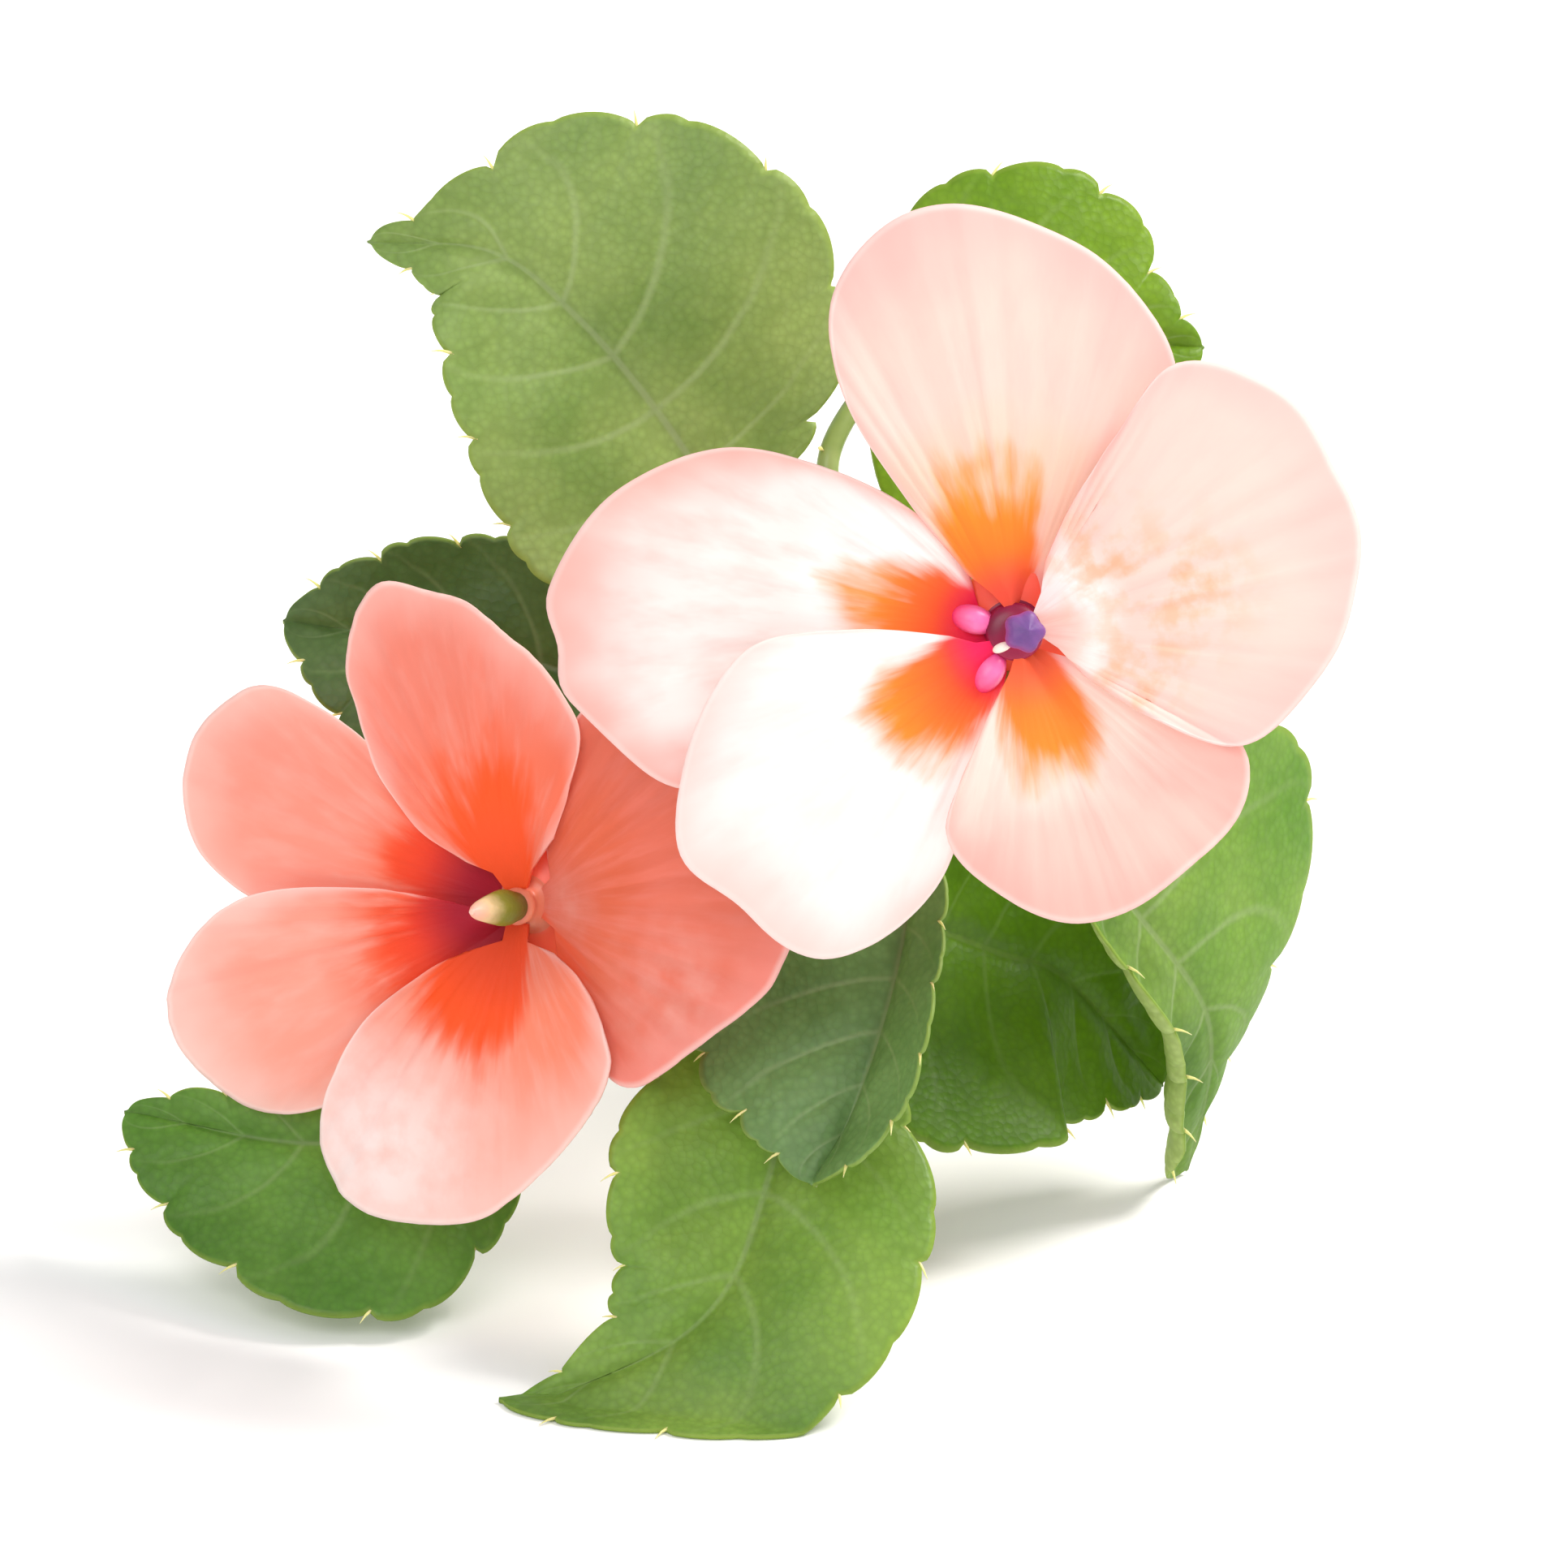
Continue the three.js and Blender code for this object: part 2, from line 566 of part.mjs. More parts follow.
// The fused stamens of the young flower: a short white column with its purple anther cap
function antherMesh() {
  const curve = curveThrough([[0, 0, -0.3], [0.1, 0, 1.2], [0.3, 0.1, 2.6]]);
  const radiusAt = (t) => profile([0, 0.35, 0.6, 0.85, 1], [0.5, 0.5, 0.95, 0.95, 0.35], t);
  return named('peach_anther_cap', rod(curve, radiusAt, 10, 8), ANTHER_PURPLE);
}

// The older flower has shed its anthers and shows the green pistil
function pistilMesh() {
  const curve = curveThrough([[0, 0, -0.3], [0, 0, 1.6], [0.1, 0, 4.6]]);
  const radiusAt = (t) => profile([0, 0.3, 0.6, 0.85, 1], [0.75, 0.95, 0.75, 0.45, 0.15], t);
  return named('salmon_pistil', rod(curve, radiusAt, 12, 8), PISTIL_GREEN);
}

function stemMesh() {
  const curve = curveThrough(STEM_PATH);
  const stations = STEM_RADII.map((_, i) => i / (STEM_RADII.length - 1));
  const radiusAt = (t) => {
    const swell = STEM_NODES.reduce((sum, node) => sum + Math.exp(-(((t - node) / NODE_LENGTH) ** 2)), 0);
    return profile(stations, STEM_RADII, t) + NODE_SWELL * swell;
  };
  return named('stem', rod(curve, radiusAt, 40, 10), STEM_GREEN);
}

const sprig = new THREE.Group();
sprig.position.set(-BOX_MIDDLE.x, -BOX_MIDDLE.y, 0);
sprig.add(stemMesh());
LEAVES.forEach((leaf) => sprig.add(leafMesh(leaf)));

const peach = flowerGroup(PEACH_FLOWER);
peach.add(antherMesh());
sprig.add(peach, pedicelMesh(PEACH_FLOWER));

const salmon = flowerGroup(SALMON_FLOWER);
salmon.add(pistilMesh());
sprig.add(salmon, pedicelMesh(SALMON_FLOWER));

export default sprig;
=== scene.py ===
# A cut sprig of busy lizzie, lying as picked: two flowers, eight leaves and their stem, with the
# thin blades, veins, bristles, furrowed petals and colours that the solid frame leaves out.
# Lengths are in millimetres and angles in degrees until a piece's mesh is made, in metres.
# The layout has the shoot tip above (0, 0), and the flowers face -Y.
import math

import bpy
import numpy as np
from mathutils import Matrix, Vector


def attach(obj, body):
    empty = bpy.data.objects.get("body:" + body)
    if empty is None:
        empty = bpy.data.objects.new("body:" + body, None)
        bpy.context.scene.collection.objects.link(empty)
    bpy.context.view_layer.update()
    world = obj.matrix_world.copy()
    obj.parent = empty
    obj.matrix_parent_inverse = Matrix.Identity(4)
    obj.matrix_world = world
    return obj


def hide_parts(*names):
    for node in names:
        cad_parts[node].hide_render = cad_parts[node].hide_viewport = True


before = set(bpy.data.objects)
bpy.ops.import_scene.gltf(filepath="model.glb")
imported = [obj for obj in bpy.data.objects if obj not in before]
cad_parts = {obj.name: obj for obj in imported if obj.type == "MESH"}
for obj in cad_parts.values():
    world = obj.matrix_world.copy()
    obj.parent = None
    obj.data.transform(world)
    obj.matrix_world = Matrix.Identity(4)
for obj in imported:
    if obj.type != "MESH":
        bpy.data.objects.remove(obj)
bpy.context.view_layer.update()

METRES = 0.001
# The middle of the sprig's box in this layout, which is the frame's own origin
BOX_MIDDLE = (-9.39, 18.98, 0)
rng = np.random.default_rng(7)

# ---- Leaf blades: lengths across them are in mm, and places along them go from 0 to 1 ----
TEETH = 7
ROWS_PER_TOOTH = 20
BLADE_COLUMNS = 22
LEAF_THICKNESS = 0.34
LEAF_EDGE_THINNING = 0.45
TOOTH_DEPTH = 0.75
TOOTH_LEAN = 1.4
TOOTH_ROUNDNESS = 0.42
# A second, shallower notch splits each tooth where the half blade is wider than this
SECOND_NOTCH_DEPTH = 0.45
SECOND_NOTCH_WIDTHS = (2, 5)
TIP_TEETH_LOSS = 0.65
TIP_TEETH_PLACES = (0.76, 0.9)
DEEPEST_NOTCH = 0.3
MOST_SLANT = 2
SLANT_STEP = 0.02
SECTION_STEPS = 16
BASE_HALF_WIDTH = 0.5
TIP_HALF_WIDTH = 0.15
REACH_STATIONS = [0, 0.06, 0.2, 0.4, 0.6, 0.8, 0.93, 1]
SWEEP = (-25, 55)
EDGE_WAVE = 0.45
EDGE_WAVES = 2.5
WAVE_LAG = 2
CALM_REACH = 5
# The side veins leave the midrib one tooth below the notch they run to, along a power curve
VEIN_CURVE = 1.5
QUILT = 0.2
QUILT_ROUNDNESS = 0.8
QUILT_START = (0.02, 0.25)
MIDRIB_GROOVE = 0.22
MIDRIB_GROOVE_WIDTH = 0.55
VEIN_RIDGE = 0.1
VEIN_RIDGE_WIDTH = 0.07
# The ridges flatten where the blade comes this near the floor
RIDGE_CLEARANCE = (0.5, 1.5)
# Soft waves are given as how many there are, then the slowest and the fastest of them
BUCKLE = 0.22
BUCKLE_WAVES = (4, 0.6, 2.2)
BUCKLE_ALONG, BUCKLE_ACROSS = 1.3, 2.5
BUCKLE_START = (0.1, 0.6)
# How far either side of the midrib, as a share of a half blade, the painted light and shade of a leaf's two
# halves blend
PAINTED_HALF_SHADE_BLEND = 0.12

# ---- Petioles, bristles and glands ----
PETIOLE_RINGS = 110
# A stalk is rooted this share of the way from the stem's skin to its middle line
ROOTING = 0.6
PETIOLE_RADIUS = (0.75, 0.52)
PETIOLE_FLARE = 0.35
PETIOLE_FLARE_LENGTH = 0.8
MIDRIB_RADIUS = (0.5, 0.1)
MIDRIB_SINK = (0.12, 0.15)
MIDRIB_PLACES = (0.05, 0.97)
MIDRIB_SHARE = 0.95
JOINT_LENGTH = 0.02
FLOOR_GAP = 0.02
THINNEST = 0.03
BRISTLE_LENGTH = 0.95
BRISTLE_LENGTHS = (0.75, 1.15)
BRISTLE_RADIUS = 0.1
BRISTLE_TAPER = np.array([1, 0.9, 0.65, 0.4, 0.12])
BRISTLE_BOW = 0.08
BRISTLE_BOW_PLACE = 0.55
BRISTLE_ROOT = 0.15
BRISTLE_TIPWARD, BRISTLE_UPWARD = 0.9, 0.15
GLANDS = 6
GLAND_PLACES = (0.35, 0.97)
GLAND_STALK = 0.55
GLAND_LEAN = 0.4
GLAND_ROOT = 0.8
GLAND_RADII = [0.07, 0.05, 0.05, 0.11, 0.12, 0.03]

# ---- Petals ----
PETAL_THICKNESS = 0.26
PETAL_EDGE_THINNING = 0.5
PETAL_ROWS = 64
PETAL_COLUMNS = 110
CLAW_RING = 1.8
CLAW_HALF_WIDTH = 0.8
# Inside the ring, the claw runs on to the receptacle's rim
CLAW_ROWS = 6
CLAW_END = 1.15
CLAW_END_HALF_WIDTH = 0.6
CLAW_END_GAP = 0.1
LEAST_CLAW_SPAN = 0.5
# A petal's two sides pass over or under their neighbours, and change over in its middle
LAYER = 0.5
LAYER_CHANGE = (0.3, 0.7)
THROAT_DEPTH = 1.6
THROAT_RADIUS = 4
BEND_RADIUS = 20
EDGE_RIPPLE = 0.007
EDGE_WAVE_SET = (5, 12, 50)
# Furrows and flutter set in over these distances from the flower's middle
OPEN_PLACES = (2.5, 9)
FURROW = 0.05
FURROW_WAVES = (6, 25, 60)
FINE_FURROW = 0.7
FINE_FURROW_WAVES = (6, 70, 130)
FLUTTER = 0.25
FLUTTER_WAVES = (4, 1, 5)
FLUTTER_TURN = 6.28
# The furrows' colour changes far slower outward than round the flower, and starts at random
FAN_RUN, FAN_TURN, FAN_SPREAD = 0.25, 11, 50
FLARE_ROOT_WIDTH = 0.45
FLARE_WIDEST = 0.75
FLARE_SQUARENESS = 4
# Where the ground's middle tint sets in and is full, in lengths of the flare
GROUND_PLACES = (0.5, 2.1)
PALE_EDGE_PLACES = (5, 9)
SIDE_RIM_PLACES = (0.1, 0.6)
# The two small raised cushions at the mouth of the peach flower's throat
CUSHION_LENGTH = 2.3
CUSHION_RADIUS = 0.72
CUSHION_RISE = 0.1
CUSHION_ARCH = 0.25

# ---- Stem and the parts behind a flower ----
STEM_PATH = [
    (0, -1.2, 28.6), (0.4, 4, 27.4), (2, 18, 20.5), (5.5, 36, 10.2), (9, 52, 3.6), (11, 62, 2.3),
]
STEM_RADII = [0.9, 1.75, 1.9, 2.05, 2.2, 2.3]
STEM_NODES = [0.3, 0.56, 0.82]
NODE_SWELL = 0.5
NODE_LENGTH = 0.035
STEM_TIP_LENGTH = 0.8
STEM_RIBS, STEM_RIB_HEIGHT, STEM_TWIST = 9, 0.012, 2
# A pedicel's rings are closer together from its receptacle on
PEDICEL_RINGS, RECEPTACLE_RINGS = 80, 100
PEDICEL_RINGS_END, RECEPTACLE_RINGS_START = 0.75, 0.76
PEDICEL_RADIUS = 0.55
PEDICEL_FLARE = 0.3
PEDICEL_FLARE_LENGTH = 0.7
RECEPTACLE_RADIUS = 1.45
RECEPTACLE_LENGTH = 3.4
RECEPTACLE_WIDENING = 1.4
RECEPTACLE_LINE = [(0, 1.2, -4.2), (0, 0.1, -2), (0, 0, -0.6)]
RECEPTACLE_END = 0.35
RECEPTACLE_BLUNTNESS = 0.75
LEAST_END = 0.2
# A low rim closes the throat behind the claws: how wide, how far back and how thick it is
THROAT_RIM_RADIUS = 3.3
THROAT_RIM_BACK = 1.85
THROAT_RIM_THICKNESS = 0.3
THROAT_RIM_HALF = 0.5
MOUTH_PLACES = (0.5, THROAT_RIM_BACK - 0.4)
SPUR_STATIONS = [0, 0.07, 0.16, 0.26, 1]
SPUR_RADII = [0.9, 1.5, 1.15, 0.55, 0.3]
SPUR_END = 0.3
LATERAL_SEPAL = dict(
    start=1.4, length=4.7, half_width=1.35, roundness=0.8, foot=0.17, tip=0.05, height=0.7, depth=3.1,
    arch=0.4, cup=0.25, half_thickness=0.16,
)

# ---- Anther cap, filament end and pistil, each with its line out of the flower and its radii ----
ANTHER_LINE = [(0, 0, -0.6), (0.1, 0, 1.2), (0.3, 0.1, 2.6)]
ANTHER_STATIONS = [0, 0.35, 0.6, 0.85, 1]
ANTHER_RADII = [0.5, 0.42, 0.92, 0.9, 0.2]
ANTHER_END = 0.35
ANTHER_LOBE = 0.09
ANTHER_LOBE_PLACES = (0.4, 0.6)
FILAMENT_LINE = [(-1.25, -0.95, 0.55), (-0.85, -0.75, 0.95), (-0.4, -0.6, 0.8)]
FILAMENT_RADIUS = 0.24
PISTIL_LINE = [(0, 0, -0.6), (0, 0, 1.6), (0.1, 0, 4.6)]
PISTIL_STATIONS = [0, 0.3, 0.6, 0.85, 1]
PISTIL_RADII = [0.75, 0.92, 0.7, 0.42, 0.12]
PISTIL_LOBE = 0.05
LOBES = 5

# ---- Which of its piece's finishes a surface has ----
UPPER_FACE, LOWER_FACE, LEAF_FLESH, BRISTLE = range(4)
PETAL_FACE, PETAL_BACK, CUSHION = range(3)
PEDICEL_FLESH, THROAT_RIM, THROAT_CORE, THROAT_BACK = range(4)
FLESH = 0

# ---- Finishes: the size in mm of what each repeats, then widths, tints and strengths ----
# How fast the bands of a stalk follow each other, in bands a millimetre, and how many a sepal has
# along and across it
BANDS = dict(stem=0.12, petiole=0.25, pedicel=0.3, sepal=(4, 3))
# The filament end keeps to the pale foot of the stamens' colours
FILAMENT_PALENESS = 0.2
LEAF_PATCH = 7.143
# The leaf's real cells are too fine to show, so these are drawn a few times as coarse
LEAF_CELL = 0.4167
LEAF_NET = 1.613
VEIN_WANDER = 3.846
PETAL_CLOUD = 5
PETAL_MOTTLE = 1.3333
STEM_PATCH = 3.3333
FLESH_SPECK = 0.4
PAPER_FLECK = 13.333
# Half a side vein's width, as a share of the space between two of them
VEIN_HALF_WIDTH = 0.085
VEIN_BEND = 0.12
MIDRIB_EDGE = (0.08, 0.3)
NET_EDGE = (0.02, 0.14)
NET_BOLDNESS = 0.09
LEAF_MARGIN = (0.965, 1)
FLARE_CLOUDS, FLARE_STREAKS = 0.8, 0.42
FLARE_FADE = (1.37, 1.74)
# From here to there, in lengths of the throat, the flare turns from its inner to its outer tint
FLARE_GLOW = (0.8, 1.7)
BACK_FLARE = 0.35
PALE_EDGE = (0.1, 0.45)
PALE_EDGE_BOLDNESS = 0.38
FINE_RELIEF = 0.0001
BAND_RELIEF = 0.00015
# The share of the light that a thin blade lets through
LEAF_SHEER = 0.38
PETAL_SHEER = 0.32
LEAF_VEINS, LEAF_MARGIN_TINT = "#B6C792", "#A6BE50"
LOWER_TINTS, LOWER_VEINS = ("#93A85A", "#A9BA6C"), "#CCD498"
VEIN_BOLDNESS, LOWER_VEIN_BOLDNESS = 0.3, 0.85
PETAL_EDGE_TINT = "#FFF6F2"
# Each flower's throat: its rim, the core in front of it and its back, as flesh, flush and bands
THROAT_TINTS = dict(
    peach=(
        ("#F96A50", "#F75446", "#FB9A84"), ("#9A1244", "#700C34", "#C83054"),
        ("#F4BCA8", "#EFA894", "#F8D4C8"),
    ),
    salmon=(
        ("#E8684C", "#E25A44", "#F08C74"), ("#DC7C60", "#C86048", "#EC9C84"),
        ("#EC8870", "#E47458", "#F4A896"),
    ),
)

# ---- Floor, light and camera, in metres ----
FLOOR_HALF = 6.0
SPRIG_MIDDLE = (0.0013, -0.029, 0.0299)
# Each soft box: its name, place, width, power and tint
SOFT_BOXES = [
    ("key_box", (0.58, 0.08, 0.72), 0.35, 9.0, "#FFFBF6"),
    ("front_box", (-0.35, -0.8, 0.7), 0.7, 4.6, "#FFFFFF"),
]
WORLD_LIGHT = 0.7
# The lens looks 22 degrees down at the flowers and a little from their left
CAMERA_PLACE = (-0.0655, -0.66243, 0.30403)
CAMERA_LENS = 315

# petiole, midrib: points on their lines, from the stem's skin to the blade's tip. face: where the
# blade's upper face looks at its base and at its tip. reach: how far a half goes out at each of the
# REACH_STATIONS between base and tip. fold, roll: how far it turns up from the midrib at once, and
# then by its edge; a curl above 1 keeps that turn for the edge. tints: the blade's darker and
# lighter green, and the green that light brings through it. lower_tints: its own lower greens,
# which leaf_right has painted paler, as painted light on its rolled edge that lies in shade.
# Its painted half shading: painted light and shade that make its left and right half lighter or
# darker, as light falling across the fold at the midrib would. vein_boldness: how far its veins
# stand out.
LEAVES = {
    "leaf_upper_left": dict(
        petiole=[(-1.3, 3.2, 28.4), (-6.2, 3.6, 33.2)],
        midrib=[(-9.8, 4, 38.4), (-14, 5, 44.4), (-18, 6, 48.9), (-22.4, 7.5, 51.9), (-28.5, 10, 51.4)],
        face=[(-0.05, -0.95, 0.3), (-0.2, -0.9, 0.2)],
        left=dict(reach=[6, 10.2, 9.3, 6.6, 3, 1.2], fold=4, roll=8),
        right=dict(reach=[3.6, 9.8, 13.1, 10, 2.9, 1.3], fold=4, roll=-14),
        tints=("#7C9A54", "#A2BA6C", "#B8C85C"), painted_half_shading=(1.08, 0.96), vein_boldness=0.62,
    ),
    "leaf_upper_right": dict(
        petiole=[(0.5, 1.6, 29.9), (-2.8, 2.6, 35.4), (-5, 4.4, 41)],
        midrib=[(-3.1, 7.5, 44.1), (4.9, 9.5, 46.3), (14.8, 10, 45.8)],
        face=[(0.1, -0.85, 0.5), (0.2, -0.85, 0.5)],
        left=dict(reach=[2, 5.8, 9.4, 8.6, 3.4, 1.2], fold=6, roll=-20),
        right=dict(reach=[6, 8.9, 9.6, 8, 3.8, 1.4], fold=6, roll=-20),
        tints=("#6A921A", "#88AC26", "#A6C22A"),
    ),
    "leaf_back_left": dict(
        petiole=[(-1.4, 1.8, 27.2), (-6, 2.4, 27)],
        midrib=[(-10.3, 3, 27.3), (-20.7, 6, 30.1), (-32.4, 8, 31.3)],
        face=[(-0.1, -0.75, 0.65), (-0.2, -0.8, 0.6)],
        left=dict(reach=[3.7, 7.6, 9.4, 8.6, 4.7, 1.8], fold=5, roll=10),
        right=dict(reach=[2.4, 4.6, 6.3, 6.3, 4, 1.6], fold=12, roll=30),
        tints=("#4C6838", "#647E4A", "#7F9A44"),
    ),
    "leaf_lower_left": dict(
        petiole=[(-0.9, 0.5, 27), (-8, -0.4, 21.6), (-15, -1.8, 15)],
        midrib=[(-19.6, -2.5, 9.4), (-30.2, -5.3, 7.8), (-40.6, -1.8, 8)],
        face=[(0, -0.75, 0.66), (-0.1, -0.8, 0.6)],
        left=dict(reach=[2.4, 6.2, 10.4, 8, 4.6, 1.8], fold=4, roll=8),
        right=dict(reach=[1.8, 3.4, 4.2, 3.6, 2.2, 1.1], fold=8, roll=8),
        tints=("#52802A", "#6C983C", "#8CB03C"),
    ),
    "leaf_front_low": dict(
        petiole=[(-0.6, -1.2, 27.1), (-3, -3.6, 23.6)],
        midrib=[(-5.8, -6, 19.7), (-8.5, -14, 9.7), (-12.4, -18.6, 3.7), (-22.3, -20, -0.8)],
        face=[(-0.2, -0.7, 0.7), (-0.1, -0.5, 0.85)],
        left=dict(reach=[2.4, 5, 9.4, 9, 5.3, 2.2], fold=4, roll=-10),
        right=dict(reach=[2.6, 6.1, 8.3, 5.9, 2.3, 1], fold=10, roll=8),
        tints=("#6C943A", "#90B24E", "#A8C444"), painted_half_shading=(0.92, 1.08), vein_boldness=0.3,
    ),
    "leaf_front_middle": dict(
        petiole=[(0.2, -2, 28.3), (-0.1, -4.2, 27.2)],
        midrib=[(-0.5, -6, 25.8), (-2.1, -11.5, 20), (-4.4, -15.5, 14.4), (-6.6, -17.5, 11.1)],
        face=[(-0.35, -0.75, 0.55), (-0.35, -0.75, 0.55)],
        left=dict(reach=[1.6, 2.8, 3.8, 5.4, 4.2, 1.6], fold=30, roll=20),
        right=dict(reach=[2.6, 6.8, 10.6, 9.6, 5.2, 2], fold=2, roll=8),
        tints=("#648A4E", "#80A666", "#94B056"), painted_half_shading=(1.1, 0.97), vein_boldness=0.38,
    ),
    "leaf_lower_right": dict(
        petiole=[(0.2, 2.7, 26.1), (-0.5, 1.6, 21.6)],
        midrib=[(-0.8, 1, 17.8), (4.9, 3, 14.7), (8.6, 4.5, 12.6), (14.4, 7, 5.3)],
        face=[(0, -0.8, 0.6), (0.3, -0.75, 0.6)],
        left=dict(reach=[3, 6.2, 7.4, 5.4, 3.2, 1.4], fold=8, roll=8),
        right=dict(reach=[5.4, 11.7, 10.4, 7.4, 3.8, 1.6], fold=4, roll=8),
        tints=("#50780A", "#6A9416", "#88AC18"), vein_boldness=0.16,
    ),
    "leaf_right": dict(
        petiole=[(1.5, 1.1, 27.6), (4.6, -0.2, 26.4)],
        midrib=[(7.4, -1.5, 23.6), (12, 0.4, 17.6), (15.7, 2.8, 11.7), (16.5, 4.8, 6.6), (15.9, 7, 0.3)],
        face=[(0.2, -0.8, 0.5), (0.3, -0.9, 0.1)],
        left=dict(reach=[3.6, 10.8, 14.2, 6, 1, 0.6], fold=(5, -35), roll=-5),
        right=dict(reach=[2, 3.4, 5, 5.8, 4.8, 2.4], fold=4, roll=145, curl=3),
        tints=("#62902E", "#84A844", "#A0C03C"), painted_half_shading=(1.12, 0.98), vein_boldness=0.5,
        # Painted light: paler lower greens than the other leaves', to brighten the rolled edge that lies in
        # shade
        lower_tints=("#B4C878", "#C6D68C"),
    ),
}

# Petals, cushions and spurs are in the flower's own frame: x to the right, y up, z out of its face.
# heading: where the petal points, counted from x towards y, and claw_heading the same for its claw,
# the narrow foot in the throat. layer: how far over its neighbours each side lies, in LAYERs.
# bend: how far forward the petal leans at BEND_RADIUS. outline: from the claw's one side to the
# other. cushions: where they stand. flare: how far the coloured flare runs from the middle, half its
# width at its widest, where it points, how strong it is and how much of the throat's red it takes.
# ground: the petal's colour by the flare, in its middle and at its margin. blots: soft patches, each
# as its heading, distance and radius, with the range of a mottle that brings out their tint.
# flare_tints: the throat's red, then the flare near it and at its end. throat: where the red is full
# and where it has gone. mouth_radius: the receptacle's radius at its mouth.
PEACH_FLOWER = dict(
    name="peach",
    centre=(2.4, -18, 41.6),
    face=(0, -0.927, 0.375),
    pedicel=[(0.1, -1.7, 29.4), (0.7, -6, 37.6), (1.8, -11, 42.4)],
    spur=[(0, -1.7, -3.2), (0.4, -3.9, -4.8), (3.4, -7.4, -9), (7.6, -9.2, -13.2), (10.8, -7.6, -18)],
    petals=[
        dict(
            name="standard", heading=12, layer=(1, 1), bend=-1.0,
            claw_half_width=1.45, claw_heading=18,
            outline=[
                (1.4, 3.5), (2.6, 6.2), (4.9, 9.7), (7.9, 13.4), (13, 12.1), (16.4, 7.4), (17.3, 3),
                (15.4, -1.9), (11.5, -5.6), (7, -4.4), (3.4, -2.2),
            ],
            flare=dict(length=4, half_width=2.2, heading=-14, strength=0.3, red=0.3),
            blots=dict(
                spots=[(42, 5.4, 2.6), (-20, 6.2, 2.4), (14, 9, 2.6)], tint="#FBA860",
                strength=0.55, grain=(0.44, 0.62),
            ),
            ground=("#FFFEFC", "#FAD8CF", "#F9CAC4"),
        ),
        dict(
            name="upper", heading=96, layer=(1, -1), bend=-1.6,
            claw_half_width=1.3, claw_heading=86,
            outline=[
                (-2.4, 2.8), (-5.6, 6.6), (-8.6, 11.5), (-9.2, 16.5), (-6, 20.6), (-0.5, 20.9), (4.7, 18.3),
                (8, 13.6), (7, 8.6), (3.6, 4),
            ],
            flare=dict(length=8.1, half_width=3.0, heading=104, red=0.45),
            ground=("#FBD0BC", "#FAD4CA", "#F8C2BC"),
        ),
        dict(
            name="left", heading=174, layer=(-1, -1), bend=-1.6,
            cushions=[(-2.05, 0.6)],
            outline=[
                (-3.2, -1.7), (-9, -5.5), (-16.5, -7.8), (-22, -3.7), (-22.6, -0.8), (-23.1, 2.2),
                (-20, 6.9), (-14.4, 9.1), (-8.8, 7.9), (-4.6, 5.6), (-2.3, 3),
            ],
            flare=dict(length=8.3, half_width=2.65, heading=169),
            ground=("#FFFFFF", "#FEF1EE", "#F8B8AE"),
        ),
        dict(
            name="lower_left", heading=228, layer=(-1, 1), bend=-0.9,
            cushions=[(-1.25, -2.05)], claw_half_width=1.15,
            outline=[
                (-0.7, -3.5), (-2.4, -8.6), (-4.3, -13.3), (-9.2, -16.4), (-13.7, -13.8), (-16.7, -11.1),
                (-16.4, -5.9), (-13.7, -1), (-8.3, 0.1), (-3.4, -0.2),
            ],
            flare=dict(length=8.2, half_width=3.4, heading=224),
            ground=("#FFFFFF", "#FFF9F7", "#FCDCD6"),
        ),
        dict(
            name="lower_right", heading=292, layer=(-1, 1), bend=-1.0,
            claw_half_width=1.25, claw_heading=296,
            outline=[
                (3.2, -1.4), (7.5, -3), (11.5, -5.7), (11.2, -9.1), (7.4, -12.9), (3.1, -14.6),
                (-1.1, -12.9), (-3.5, -10), (-2.2, -6), (-1.1, -3.5),
            ],
            flare=dict(length=7.6, half_width=2.9, heading=288, red=0.35),
            ground=("#FDE4DA", "#FBCFC5", "#F9BDB4"),
        ),
    ],
    flare_tints=("#FA1E60", "#FF4A20", "#FF9420"),
    throat=(2.0, 4.4), mouth_radius=1.45,
)

